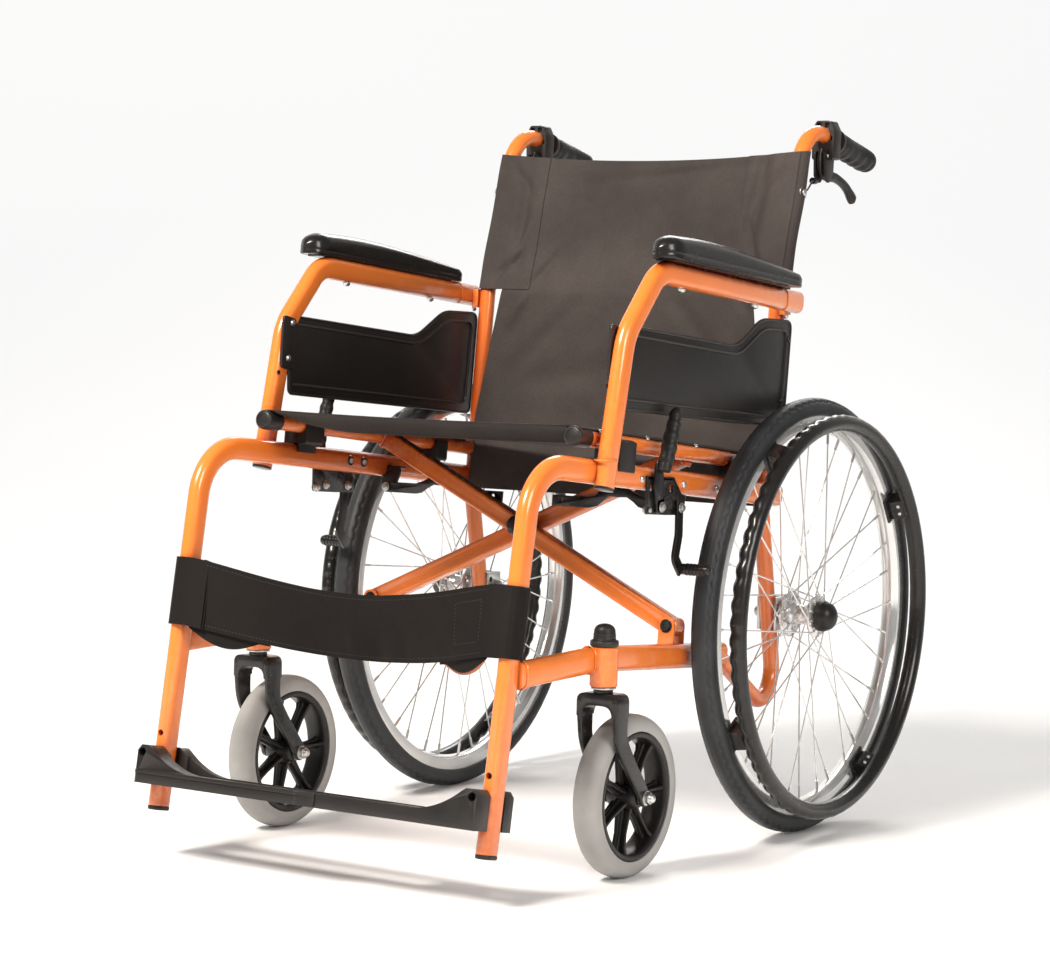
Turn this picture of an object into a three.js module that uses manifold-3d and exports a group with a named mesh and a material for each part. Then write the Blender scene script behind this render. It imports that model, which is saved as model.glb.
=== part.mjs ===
// Folding manual wheelchair with a cross brace, in millimetres.
// +Z is up, -Y is the front of the chair and +X is the user's left.
// The origin is on the floor, below the middle of the chair's length and width. The pieces are
// drawn with Y counted from the rear axle, and the finished chair is then moved by middleY.
import * as THREE from "three";
import { mergeVertices } from "three/addons/utils/BufferGeometryUtils.js";
import Module from "manifold-3d";

const wasm = await Module();
wasm.setup();

// ---------------------------------------------------------------- driving dimensions
const middleY = -232.1; // middle of the chair's length, from the rear axle
const GAP = 0.4; // free space left between pieces that touch
const RUNNING = 0.5; // radial clearance of a pin in its bore

const oval = { width: 20, depth: 30 }; // flat-sided oval tube of the side frame
const tubeRadius = 11; // round tube of the posts and the seat

const leg = { x: 245, footY: -699.4, footZ: 59, lean: 0.1711, plug: 5, bend: 68 };
const rail = { y: -538, z: 501, fall: 0.1016, endY: -28 };
const lowerRail = { x: 252, frontY: -655, rearY: -178, kneeY: -484, kneeZ: 271, rearZ: 250, depth: 32 };
lowerRail.bend = 120;
const post = { x: 233, bottomBend: 40, topBend: 55 };
const postCorners = [
  [250, -190, 253],
  [post.x, 10, 140],
  [post.x, -46, 432],
  [post.x, -17, 712],
  [post.x, 47, 945],
  [post.x, 231, 905.5],
];
const postBends = [post.bottomBend, 60, 80, post.topBend];

const arm = { x: 260, bottomY: -488, bottomZ: 478, kneeY: -447, kneeZ: 660, topY: -374, topZ: 738 };
arm.endY = 5;
arm.endZ = 704;
arm.bends = [70, 45];
arm.weld = { size: [10, 16, 26], centre: [247, -16, 702] }; // joins the arm to the back post
const pad = { x: 270.5, halfWidth: 12.5, frontY: -387, rearY: -62, round: 7.5, height: 7 };

const seatTube = { x: 234, frontY: -527, rearY: -66, z: 540.3, fall: 0.1022 };
const guideY = { front: -411, rear: -127 };
const pivot = { x: 239, z: 292, crossZ: 403.8, pin: 4.5 };
const lug = { width: 30, thickness: 3, height: 46, offsetX: 4, drop: 9 };
const brace = { depth: 20, height: 24, frontPlane: -272, rearPlane: -250, seatTubeZ: 512.5 };
const stay = { x: 231, z: 444, reach: 182.5, bar: 14, thickness: 3.4, hump: 20, pin: 3.4 };
stay.clip = { width: 18, thickness: 3, height: 36, offsetX: 2, lift: 8 };

const wheel = { x: 281, z: 290, radius: 290, halfWidth: 16.7, sides: 30 };
const rim = { outer: 269.4, bed: 261.5, inner: 246, halfWidth: 12.5, wall: 2 };
const hub = { barrel: 13, flange: 31, inner: -24, outer: 16, spokes: 24, spokeRadius: 1.4 };
const handRim = { x: 40, radius: 258, tube: 11, brackets: 4, firstAngle: 0.567 };
const axle = { radius: 6, innerX: 205, outerX: 299 };

const caster = { x: 264, y: -484, radius: 100, trail: 57, halfWidth: 18, tyreSeat: 80, spokes: 7, bolt: 4 };
const stem = { radius: 6, top: 284 };
const housing = { radius: 17, bottom: 239, top: 287.5 };
const crown = { top: 231, width: 60, depth: 32, height: 26 };

const footplate = { pivotZ: 128, ear: 252, earTop: 9, bottom: -38, top: -22, slot: 185, farSlot: 72 };
footplate.front = -44;
footplate.rear = 33;
footplate.bolt = 4;
const strap = { centre: 202, height: 84, thickness: 2.6, standOff: 17.5, sag: 29, halfWidth: 254 };

const lock = { plateX: 256.8, pivotY: -358, pivotZ: 449, armY: -310, armZ: 446, footZ: 369, pin: 5 };
const grip = { startY: 131, length: 110, startRadius: 18, endRadius: 16, endWall: 4 };
const lever = { pivotY: 99, pivotZ: 906, thickness: 9, pin: 2.5 };
const fabric = 3;

// ---------------------------------------------------------------- finishes
const finishes = {
  orange_paint: { color: 0xf0853a, roughness: 0.28, metalness: 0.0 },
  black_plastic: { color: 0x262423, roughness: 0.5, metalness: 0.0 },
  black_steel: { color: 0x1d1c1c, roughness: 0.35, metalness: 0.6 },
  chrome: { color: 0xd9d9d6, roughness: 0.12, metalness: 1.0 },
  silver_steel: { color: 0xb9b9b4, roughness: 0.32, metalness: 1.0 },
  grey_tyre: { color: 0x9a9893, roughness: 0.75, metalness: 0.0 },
  black_tyre: { color: 0x2c2d2f, roughness: 0.7, metalness: 0.0 },
  grip_rubber: { color: 0x24211f, roughness: 0.65, metalness: 0.0 },
  armrest_skin: { color: 0x1c1a19, roughness: 0.25, metalness: 0.0 },
  upholstery: { color: 0x4a4240, roughness: 0.85, metalness: 0.0 },
};

// ---------------------------------------------------------------- solids
const point = (x, y, z) => new THREE.Vector3(x, y, z);

function asSolid(geometry) {
  const bare = geometry.index ? geometry.toNonIndexed() : geometry.clone();
  bare.deleteAttribute("normal");
  bare.deleteAttribute("uv");
  const merged = mergeVertices(bare, 1e-3);
  const indices = merged.index.array;
  const triangles = [];
  for (let i = 0; i < indices.length; i += 3) {
    const [a, b, c] = [indices[i], indices[i + 1], indices[i + 2]];
    if (a !== b && b !== c && c !== a) triangles.push(a, b, c);
  }
  const build = (corners) =>
    new wasm.Manifold(
      new wasm.Mesh({
        numProp: 3,
        vertProperties: merged.attributes.position.array,
        triVerts: new Uint32Array(corners),
      }),
    );
  const solid = build(triangles);
  return solid.volume() < 0 ? build(triangles.reverse()) : solid;
}

function asGeometry(solid) {
  const mesh = solid.getMesh();
  const geometry = new THREE.BufferGeometry();
  geometry.setAttribute("position", new THREE.BufferAttribute(Float32Array.from(mesh.vertProperties), 3));
  geometry.setIndex(new THREE.BufferAttribute(Uint32Array.from(mesh.triVerts), 1));
  const flat = geometry.toNonIndexed();
  flat.computeVertexNormals();
  return flat;
}

const join = (...solids) => solids.reduce((whole, next) => whole.add(next));
const cut = (solid, ...tools) => tools.reduce((whole, tool) => whole.subtract(tool), solid);

function along(geometry, axis) {
  if (axis === "x") geometry.rotateZ(-Math.PI / 2);
  if (axis === "z") geometry.rotateX(Math.PI / 2);
  return geometry;
}

const block = (size, centre) => asSolid(new THREE.BoxGeometry(...size).translate(...centre));

function rod(axis, radius, length, centre, sides = 16) {
  const geometry = along(new THREE.CylinderGeometry(radius, radius, length, sides), axis);
  return asSolid(geometry.translate(...centre));
}

// A profile of [distance along the axis, radius] pairs, turned about the axis.
function turned(profile, axis, centre = [0, 0, 0], sides = 24) {
  const points = profile.map(([distance, radius]) => new THREE.Vector2(radius, distance));
  return asSolid(along(new THREE.LatheGeometry(points, sides), axis).translate(...centre));
}

// A closed outline in the YZ plane, extruded along X from startX.
function slabYZ(shape, startX, thickness, curveSegments = 5) {
  const options = { depth: thickness, bevelEnabled: false, curveSegments };
  const geometry = new THREE.ExtrudeGeometry(shape, options);
  geometry.applyMatrix4(new THREE.Matrix4().set(0, 0, 1, startX, 1, 0, 0, 0, 0, 1, 0, 0, 0, 0, 0, 1));
  return asSolid(geometry);
}

// A closed outline in the XZ plane, extruded along Y from startY to endY.
function slabXZ(shape, startY, endY, curveSegments = 5) {
  const options = { depth: endY - startY, bevelEnabled: false, curveSegments };
  const geometry = new THREE.ExtrudeGeometry(shape, options);
  geometry.rotateX(Math.PI / 2);
  return asSolid(geometry.translate(0, endY, 0));
}

// ---------------------------------------------------------------- swept tubes
// A path through stations whose section keeps one side facing the given direction.
class StationCurve extends THREE.Curve {
  constructor(stations, facing) {
    super();
    this.stations = stations;
    this.last = stations.length - 1;
    this.facing = facing;
  }

  getPoint(t) {
    const place = Math.min(Math.max(t, 0), 1) * this.last;
    const index = Math.min(Math.floor(place + 1e-9), this.last - 1);
    return this.stations[index].clone().lerp(this.stations[index + 1], place - index);
  }

  getPointAt(u) {
    return this.getPoint(u);
  }

  getTangentAt(u) {
    const index = Math.round(u * this.last);
    const here = this.stations[index];
    const before = this.stations[Math.max(index - 1, 0)];
    const after = this.stations[Math.min(index + 1, this.last)];
    const arriving = here.clone().sub(before).normalize();
    return after.clone().sub(here).normalize().add(arriving).normalize();
  }

  computeFrenetFrames(segments) {
    const frames = { tangents: [], normals: [], binormals: [] };
    for (let step = 0; step <= segments; step += 1) {
      const tangent = this.getTangentAt(step / segments);
      const normal = this.facing.clone().addScaledVector(tangent, -tangent.dot(this.facing)).normalize();
      frames.tangents.push(tangent);
      frames.normals.push(normal);
      frames.binormals.push(tangent.clone().cross(normal));
    }
    return frames;
  }
}

// The stations of a path through corners, with a round bend at each inner corner.
function bentPath(corners, bends, steps = 6) {
  const stations = [corners[0]];
  bends.forEach((bend, index) => {
    const corner = corners[index + 1];
    const back = corners[index].clone().sub(corner).normalize();
    const onward = corners[index + 2].clone().sub(corner).normalize();
    const turn = Math.PI - back.angleTo(onward);
    const inward = back.clone().add(onward).normalize();
    const across = onward.clone().sub(back).normalize();
    const centre = corner.clone().addScaledVector(inward, bend / Math.cos(turn / 2));
    for (let step = 0; step <= steps; step += 1) {
      const angle = turn * (step / steps - 0.5);
      const station = centre.clone().addScaledVector(inward, -bend * Math.cos(angle));
      stations.push(station.addScaledVector(across, bend * Math.sin(angle)));
    }
  });
  stations.push(corners[corners.length - 1]);
  return stations;
}

// Sweeps a section along stations; the section's x side faces sideways unless told otherwise.
function sweep(shape, stations, curveSegments = 2, facing = point(-1, 0, 0)) {
  const extrudePath = new StationCurve(stations, facing);
  const options = { steps: stations.length - 1, extrudePath, bevelEnabled: false, curveSegments };
  return asSolid(new THREE.ExtrudeGeometry(shape, options));
}

function ovalShape(width, depth) {
  const straight = (depth - width) / 2;
  const shape = new THREE.Shape();
  shape.absarc(0, straight, width / 2, 0, Math.PI);
  shape.absarc(0, -straight, width / 2, Math.PI, 2 * Math.PI);
  return shape;
}

const roundShape = (radius) => new THREE.Shape().absarc(0, 0, radius, 0, 2 * Math.PI);

function rectangle(width, height) {
  const [x, y] = [width / 2, height / 2];
  return new THREE.Shape([[-x, -y], [x, -y], [x, y], [-x, y]].map(([a, b]) => new THREE.Vector2(a, b)));
}

function outline(points) {
  return new THREE.Shape(points.map(([a, b]) => new THREE.Vector2(a, b)));
}

// ---------------------------------------------------------------- heights along the frame
const railHeight = (y) => rail.z - rail.fall * (y - rail.y);
const seatHeight = (y) => seatTube.z - seatTube.fall * (y - seatTube.frontY);
const legY = (z) => leg.footY + (z - leg.footZ) * Math.tan(leg.lean);
const armHeight = (y) => arm.topZ + ((arm.endZ - arm.topZ) * (y - arm.topY)) / (arm.endY - arm.topY);
const footplateY = legY(footplate.pivotZ);

// The folding parts turn about axes that run parallel to the falling seat tubes, so they are
// drawn upright and then tipped with the seat about the cross pivot.
const foldTilt = Math.atan(seatTube.fall);
const foldY = (brace.frontPlane + brace.rearPlane) / 2;
function tipped(solid) {
  const centred = solid.translate([0, -foldY, -pivot.crossZ]);
  return centred.rotate([-THREE.MathUtils.radToDeg(foldTilt), 0, 0]).translate([0, foldY, pivot.crossZ]);
}

// ---------------------------------------------------------------- naming and placing
const chair = new THREE.Group();

function place(parent, name, solid, finish) {
  const material = new THREE.MeshStandardMaterial(finishes[finish]);
  const mesh = new THREE.Mesh(asGeometry(solid), material);
  mesh.name = name;
  parent.add(mesh);
  return mesh;
}

function groupAt(parent, x, y, z) {
  const group = new THREE.Group();
  group.position.set(x, y, z);
  parent.add(group);
  return group;
}

// A group whose Z axis runs up the leaning front leg, at the footplate's bolt.
function legGroup() {
  const group = groupAt(chair, 0, footplateY, footplate.pivotZ);
  group.rotation.x = -leg.lean;
  return group;
}

// ---------------------------------------------------------------- side frame
// Holes square to the leg, at heights along it measured from the footplate's bolt.
function legHoles(radius) {
  const heights = [0, 25];
  const holes = heights.map((height) => {
    const geometry = new THREE.CylinderGeometry(radius, radius, oval.depth * 2, 12);
    geometry.translate(leg.x, 0, height).rotateX(-leg.lean);
    return asSolid(geometry.translate(0, footplateY, footplate.pivotZ));
  });
  return join(...holes);
}

function frontTube() {
  const slope = Math.tan(leg.lean);
  const start = leg.footZ + leg.plug + GAP;
  const reach = rail.z + rail.fall * rail.y - leg.footZ;
  const cornerY = (leg.footY + reach * slope) / (1 + slope * rail.fall);
  const corners = [
    point(leg.x, legY(start), start),
    point(leg.x, cornerY, railHeight(cornerY)),
    point(leg.x, rail.endY, railHeight(rail.endY)),
  ];
  const tube = sweep(ovalShape(oval.width, oval.depth), bentPath(corners, [leg.bend], 5));
  return cut(tube, legHoles(footplate.bolt + RUNNING));
}

function legPlug() {
  const ends = [leg.footZ, leg.footZ + leg.plug].map((z) => point(leg.x, legY(z), z));
  return sweep(ovalShape(oval.width, oval.depth), ends);
}

function lowerRailTube() {
  const corners = [
    point(lowerRail.x, lowerRail.frontY, lowerRail.kneeZ - 4),
    point(lowerRail.x, lowerRail.kneeY, lowerRail.kneeZ),
    point(lowerRail.x, lowerRail.rearY, lowerRail.rearZ),
  ];
  return sweep(ovalShape(oval.width, lowerRail.depth), bentPath(corners, [lowerRail.bend], 2));
}

function backPost() {
  const corners = postCorners.map((corner) => point(...corner));
  return sweep(roundShape(tubeRadius), bentPath(corners, postBends, 3), 5);
}

function armTube() {
  const corners = [
    point(arm.x, arm.bottomY, arm.bottomZ),
    point(arm.x, arm.kneeY, arm.kneeZ),
    point(arm.x, arm.topY, arm.topZ),
    point(arm.x, arm.endY, arm.endZ),
  ];
  return sweep(ovalShape(oval.width, oval.depth), bentPath(corners, arm.bends, 3));
}

function casterHousing() {
  const middle = (housing.top + housing.bottom) / 2;
  const height = housing.top - housing.bottom;
  return rod("z", housing.radius, height, [caster.x, caster.y, middle], 20);
}

function casterBore() {
  return rod("z", stem.radius + RUNNING, 120, [caster.x, caster.y, 260]);
}

// Two plates on the lower rail with the brace's pin between them.
function braceLug(plane) {
  const offset = brace.depth / 2 + 2 * GAP + lug.thickness / 2;
  const size = [lug.width, lug.thickness, lug.height];
  const plates = [-1, 1].map((side) => {
    return block(size, [pivot.x + lug.offsetX, plane + side * offset, pivot.z - lug.drop]);
  });
  const pin = rod("y", pivot.pin, 2 * offset + 8, [pivot.x, plane, pivot.z]);
  return tipped(join(...plates, pin));
}

// The clip under the rail that carries the stay's pin, beside the stay.
function stayClip(plane, side) {
  const { width, thickness, height, offsetX, lift } = stay.clip;
  const y = plane + side * (stay.thickness / 2 + 2 * GAP + thickness / 2);
  const hanger = block([width, thickness, height], [stay.x + offsetX, y, stay.z + lift]);
  const pin = rod("y", stay.pin, 9, [stay.x, plane + side * 2, stay.z], 12);
  return tipped(join(hanger, pin));
}

function sideFrame(side) {
  const frame = join(
    frontTube(),
    lowerRailTube(),
    backPost(),
    armTube(),
    casterHousing(),
    braceLug(side.bracePlane),
    stayClip(side.stayPlane, side.clipSide),
    block(arm.weld.size, arm.weld.centre),
  );
  return cut(frame, casterBore());
}

// ---------------------------------------------------------------- covers and pads
function casterCap() {
  const profile = [[0, 0], [0, 17], [7, 17], [9, 14], [20, 13], [26, 7], [27, 0]];
  return turned(profile, "z", [caster.x, caster.y, housing.top + GAP], 20);
}

function armrestPad() {
  const length = pad.rearY - pad.frontY - 2 * pad.round;
  const shape = new THREE.Shape();
  shape.moveTo(pad.halfWidth, length / 2);
  shape.lineTo(-pad.halfWidth, length / 2);
  shape.lineTo(-pad.halfWidth, -length / 2 + pad.halfWidth);
  shape.absarc(0, -length / 2 + pad.halfWidth, pad.halfWidth, Math.PI, 2 * Math.PI);
  const bevel = { bevelThickness: pad.round, bevelSize: pad.round, bevelSegments: 2 };
  const geometry = new THREE.ExtrudeGeometry(shape, { depth: pad.height, curveSegments: 5, ...bevel });
  const tilt = Math.atan2(arm.endZ - arm.topZ, arm.endY - arm.topY);
  const middle = (pad.frontY + pad.rearY) / 2;
  geometry.translate(0, 0, pad.round).rotateX(tilt);
  return asSolid(geometry.translate(pad.x, middle, armHeight(middle) + oval.depth / 2 + 1));
}

function skirtGuard() {
  const shape = new THREE.Shape();
  shape.moveTo(-444, 582);
  shape.quadraticCurveTo(-446, 574, -438, 573);
  shape.lineTo(-40, 541);
  shape.quadraticCurveTo(-30, 540, -29, 550);
  shape.lineTo(-16, 662);
  shape.quadraticCurveTo(-15, 682, -34, 683);
  shape.lineTo(-78, 684);
  shape.bezierCurveTo(-112, 684, -118, 650, -172, 648);
  shape.bezierCurveTo(-230, 648, -330, 661, -402, 669);
  shape.quadraticCurveTo(-421, 671, -430, 634);
  return slabYZ(shape, 251.2, fabric, 6);
}

// ---------------------------------------------------------------- rear wheel
function tyreSolid() {
  const round = wheel.radius - wheel.halfWidth;
  const profile = [];
  const steps = 5;
  for (let step = 0; step <= steps; step += 1) {
    const angle = -0.18 + ((Math.PI + 0.36) * step) / steps;
    profile.push([-wheel.halfWidth * Math.cos(angle), round + wheel.halfWidth * Math.sin(angle)]);
  }
  const lip = rim.halfWidth - rim.wall - GAP;
  profile.push([lip, rim.outer + GAP], [lip, rim.bed + GAP], [-lip, rim.bed + GAP], [-lip, rim.outer + GAP]);
  profile.push(profile[0]);
  return turned(profile, "x", [0, 0, 0], wheel.sides);
}

function rimSolid() {
  const [wide, inside] = [rim.halfWidth, rim.halfWidth - rim.wall];
  const profile = [
    [0, rim.inner],
    [-wide, rim.inner + 5],
    [-wide, rim.outer],
    [-inside, rim.outer],
    [-inside, rim.bed],
    [inside, rim.bed],
    [inside, rim.outer],
    [wide, rim.outer],
    [wide, rim.inner + 5],
    [0, rim.inner],
  ];
  return turned(profile, "x", [0, 0, 0], wheel.sides);
}

// One spoke, from a flange hole to the rim, crossing its neighbours.
function spoke(index) {
  const pair = Math.floor(index / 2);
  const flangeX = index % 2 === 0 ? hub.inner : hub.outer;
  const start = (2 * Math.PI * index) / hub.spokes;
  const lean = pair % 2 === 0 ? 1 : -1;
  const hole = hub.flange - 5;
  const headX = flangeX + 1.6 * lean;
  const from = point(headX, hole * Math.cos(start + lean), hole * Math.sin(start + lean));
  const reach = rim.inner - 3;
  const to = point(flangeX * 0.15 + lean, reach * Math.cos(start), reach * Math.sin(start));
  const length = from.distanceTo(to);
  const geometry = new THREE.CylinderGeometry(hub.spokeRadius, hub.spokeRadius, length, 3);
  const direction = to.clone().sub(from).normalize();
  geometry.applyQuaternion(new THREE.Quaternion().setFromUnitVectors(point(0, 1, 0), direction));
  return asSolid(geometry.translate(...from.lerp(to, 0.5).toArray()));
}

function hubAndSpokes() {
  const bore = axle.radius + RUNNING;
  const profile = [
    [hub.inner - 5, bore],
    [hub.inner - 5, 18],
    [hub.inner - 2, hub.flange],
    [hub.inner + 2, hub.flange],
    [hub.inner + 6, hub.barrel],
    [hub.outer - 6, hub.barrel],
    [hub.outer - 2, hub.flange - 2],
    [hub.outer + 2, hub.flange - 2],
    [hub.outer + 3, bore],
    [hub.inner - 5, bore],
  ];
  const solids = [turned(profile, "x", [0, 0, 0], 20)];
  for (let index = 0; index < hub.spokes; index += 1) solids.push(spoke(index));
  return join(...solids);
}

function hubCap() {
  const base = hub.outer + 4;
  const dome = [[8, 20.5], [16, 17], [22, 10], [24, 0]].map(([height, radius]) => [base + height, radius]);
  const profile = [[base, 0], [base, 20], ...dome];
  return turned(profile, "x", [0, 0, 0], 20);
}

function handRimSolid() {
  const hoop = new THREE.TorusGeometry(handRim.radius, handRim.tube, 6, wheel.sides).rotateY(Math.PI / 2);
  const solids = [asSolid(hoop.translate(handRim.x, 0, 0))];
  const start = rim.halfWidth + GAP;
  for (let index = 0; index < handRim.brackets; index += 1) {
    const angle = handRim.firstAngle + (2 * Math.PI * index) / handRim.brackets;
    const bracket = new THREE.BoxGeometry(handRim.x - start, 30, 15);
    bracket.translate((handRim.x + start) / 2, 0, handRim.radius - 3);
    solids.push(asSolid(bracket.rotateX(angle - Math.PI / 2)));
  }
  return join(...solids);
}

function axleBolt() {
  const middle = (axle.outerX + axle.innerX) / 2;
  const shaft = rod("x", axle.radius, axle.outerX - axle.innerX, [middle, 0, wheel.z]);
  const nut = rod("x", 11, 8, [214.5, 0, wheel.z], 6);
  return join(shaft, nut);
}

// A U channel around the back post that carries the axle just behind the post.
function axleBracket() {
  const plate = 3;
  const cheekX = tubeRadius + GAP + plate / 2;
  const cheeks = [-1, 1].map((side) => block([plate, 34, 44], [post.x + side * cheekX, -6, wheel.z]));
  const web = block([2 * cheekX + plate, plate, 44], [post.x, 11, wheel.z]);
  return cut(join(...cheeks, web), rod("x", axle.radius + RUNNING, 60, [post.x, 0, wheel.z]));
}

function rearWheel(parent, prefix) {
  const group = groupAt(parent, wheel.x, 0, wheel.z);
  place(group, `${prefix}_tyre`, tyreSolid(), "black_tyre");
  place(group, `${prefix}_rim`, rimSolid(), "silver_steel");
  place(group, `${prefix}_hub_and_spokes`, hubAndSpokes(), "chrome");
  place(group, `${prefix}_hub_cap`, hubCap(), "black_plastic");
  place(group, `${prefix}_hand_rim`, handRimSolid(), "black_steel");
}

// ---------------------------------------------------------------- caster
function casterFork() {
  const side = 26;
  const blade = rectangle(6, 20);
  const solids = [
    block([crown.width, crown.depth, crown.height], [0, 0, crown.top - crown.height / 2]),
    rod("z", stem.radius, stem.top - crown.top + 4, [0, 0, (stem.top + crown.top - 4) / 2]),
    rod("z", 12, 5, [0, 0, crown.top + 2.4]),
  ];
  for (const x of [-side, side]) {
    const corners = [point(x, 0, crown.top - 8), point(x, 0, 172), point(x, caster.trail, caster.radius)];
    solids.push(sweep(blade, bentPath(corners, [60], 4)));
    solids.push(rod("x", 11, 6, [x, caster.trail, caster.radius], 16));
  }
  return cut(join(...solids), rod("x", caster.bolt + RUNNING, 80, [0, caster.trail, caster.radius]));
}

function casterWheelSolid() {
  const rimProfile = [[-15, 70], [-15, 79], [15, 79], [15, 70], [-15, 70]];
  const hubProfile = [[-21, 4.6], [-21, 15], [21, 15], [21, 4.6], [-21, 4.6]];
  const solids = [turned(rimProfile, "x", [0, 0, 0], 24), turned(hubProfile, "x", [0, 0, 0], 16)];
  for (let index = 0; index < caster.spokes; index += 1) {
    const bar = new THREE.BoxGeometry(16, 13, 60).translate(0, 0, 42);
    solids.push(asSolid(bar.rotateX((2 * Math.PI * index) / caster.spokes)));
  }
  return join(...solids);
}

function casterTyreSolid() {
  const seat = caster.tyreSeat + 0.6;
  const profile = [
    [-caster.halfWidth, seat],
    [-caster.halfWidth, 91],
    [-11, 98],
    [0, caster.radius],
    [11, 98],
    [caster.halfWidth, 91],
    [caster.halfWidth, seat],
    [-caster.halfWidth, seat],
  ];
  return turned(profile, "x", [0, 0, 0], 24);
}

function casterAxle() {
  const nuts = [-33.5, 33.5].map((x) => rod("x", 7.5, 8, [x, 0, 0], 6));
  return join(rod("x", caster.bolt, 66, [0, 0, 0], 12), ...nuts);
}

function casterAssembly(parent, prefix) {
  const swivel = groupAt(parent, caster.x, caster.y, 0);
  place(swivel, `${prefix}_caster_fork`, casterFork(), "black_steel");
  const spinning = groupAt(swivel, 0, caster.trail, caster.radius);
  place(spinning, `${prefix}_caster_wheel`, casterWheelSolid(), "black_plastic");
  place(spinning, `${prefix}_caster_tyre`, casterTyreSolid(), "grey_tyre");
  place(spinning, `${prefix}_caster_axle`, casterAxle(), "silver_steel");
}

// ---------------------------------------------------------------- wheel lock
function lockPlate() {
  const shape = outline([[-384, 456], [-376, 441], [-300, 436], [-300, 456], [-318, 480], [-384, 486]]);
  const plate = slabYZ(shape, lock.plateX - 1.5, 3);
  const pins = [
    rod("x", lock.pin, 6, [lock.plateX + 3, lock.pivotY, lock.pivotZ]),
    rod("x", lock.pin, 6, [lock.plateX + 3, lock.armY, lock.armZ]),
  ];
  return join(plate, ...pins);
}

function lockHandle() {
  const x = lock.plateX + 4.2;
  const bar = sweep(rectangle(4, 16), [
    point(x, lock.pivotY - 3, lock.pivotZ - 9),
    point(x, -366, 476),
    point(x, -357, 506),
  ]);
  const crank = sweep(rectangle(4, 14), [point(x, lock.pivotY - 5, 449), point(x, -334, 456)]);
  const profile = [[0, 0], [0, 8], [6, 9.5], [62, 9.5], [72, 6], [74, 0]];
  const handle = turned(profile, "y", [0, 0, 0], 12).rotate([79, 0, 0]).translate([x + 7, -354, 500]);
  const neck = block([12, 8, 12], [x + 4, -357, 502]);
  const bore = rod("x", lock.pin + RUNNING, 20, [x, lock.pivotY, lock.pivotZ]);
  return cut(join(bar, crank, neck, handle), bore);
}

function lockArm() {
  const x = lock.plateX + 4.2;
  const bar = sweep(rectangle(4, 15), [
    point(x, lock.armY, lock.armZ + 8),
    point(x, lock.armY, 412),
    point(x, -318, lock.footZ + 14),
    point(x, -302, lock.footZ - 4),
  ]);
  const foot = rod("x", 5.5, 44, [x + 20, -301, lock.footZ], 12);
  return cut(join(bar, foot), rod("x", lock.pin + RUNNING, 20, [x, lock.armY, lock.armZ]));
}

// ---------------------------------------------------------------- push handle
function pushGrip() {
  const end = grip.length;
  const bore = tubeRadius + GAP;
  const profile = [
    [0, bore],
    [0, grip.startRadius],
    [8, grip.startRadius],
    [14, grip.startRadius - 2.5],
    [end - 8, grip.endRadius],
    [end, grip.endRadius - 4],
    [end, 0],
    [end - grip.endWall, 0],
    [end - grip.endWall, bore],
    [0, bore],
  ];
  const [top, tail] = [point(...postCorners[4]), point(...postCorners[5])];
  const slope = THREE.MathUtils.radToDeg(Math.atan2(tail.z - top.z, tail.y - top.y));
  const share = (grip.startY - top.y) / (tail.y - top.y);
  const start = top.clone().lerp(tail, share);
  return turned(profile, "y", [0, 0, 0], 18).rotate([slope, 0, 0]).translate(start.toArray());
}

function leverBracket() {
  const clamp = block([30, 20, 44], [post.x, 115, 926]);
  const drop = block([14, 20, 34], [post.x, 106, 894]);
  const bore = sweep(roundShape(tubeRadius + GAP), [point(post.x, 90, 935.8), point(post.x, 150, 922.9)], 6);
  const slot = block([lever.thickness + 1.2, 40, 48], [post.x, 98, 890]);
  const pin = rod("x", lever.pin, 14, [post.x, lever.pivotY, lever.pivotZ], 10);
  return join(cut(join(clamp, drop), bore, slot), pin);
}

function attendantLever() {
  const stations = [
    point(post.x, 99, 912),
    point(post.x, 92, 884),
    point(post.x, 108, 878),
    point(post.x, 150, 874),
    point(post.x, 182, 858),
    point(post.x, 196, 851),
  ];
  const path = bentPath(stations, [10, 8, 60, 30], 3);
  const bore = rod("x", lever.pin + RUNNING, 20, [post.x, lever.pivotY, lever.pivotZ], 10);
  return cut(sweep(rectangle(lever.thickness, 11), path), bore);
}

// ---------------------------------------------------------------- seat support and folding brace
// A saddle on the upper rail, open upwards for the seat tube.
function seatGuide(y) {
  const base = railHeight(y) + oval.depth / 2 + 1.2;
  const top = seatHeight(y) + 2;
  const body = block([30, 13, top - base], [seatTube.x, y, (top + base) / 2]);
  const channel = rod("y", tubeRadius + 1.2, 30, [seatTube.x, y, seatHeight(y)], 20);
  const opening = block([2 * tubeRadius + 2.4, 30, 30], [seatTube.x, y, seatHeight(y) + 15]);
  return cut(body, channel, opening);
}

// A straight bar from one lower pivot up to the opposite seat tube, with that tube.
function braceWithSeatTube(plane, side) {
  const from = point(side * pivot.x, plane, pivot.z);
  const to = point(-side * seatTube.x, plane, brace.seatTubeZ);
  const angle = Math.atan2(to.z - from.z, to.x - from.x);
  const length = from.distanceTo(to) - 7;
  const bar = new THREE.BoxGeometry(length, brace.depth, brace.height).rotateY(-angle);
  const middle = from.clone().lerp(to, length / 2 / from.distanceTo(to));
  const heel = rod("y", brace.height / 2, brace.depth, from.toArray(), 20);
  const ends = [seatTube.frontY, seatTube.rearY].map((y) => {
    return point(to.x, foldY + (y - foldY) / Math.cos(foldTilt), to.z);
  });
  const tube = sweep(roundShape(tubeRadius), ends, 6);
  const bores = [
    rod("y", pivot.pin + RUNNING, 60, from.toArray()),
    rod("y", pivot.pin + RUNNING, 60, [0, plane, pivot.crossZ]),
  ];
  return tipped(cut(join(asSolid(bar.translate(...middle.toArray())), heel, tube), ...bores));
}

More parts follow.
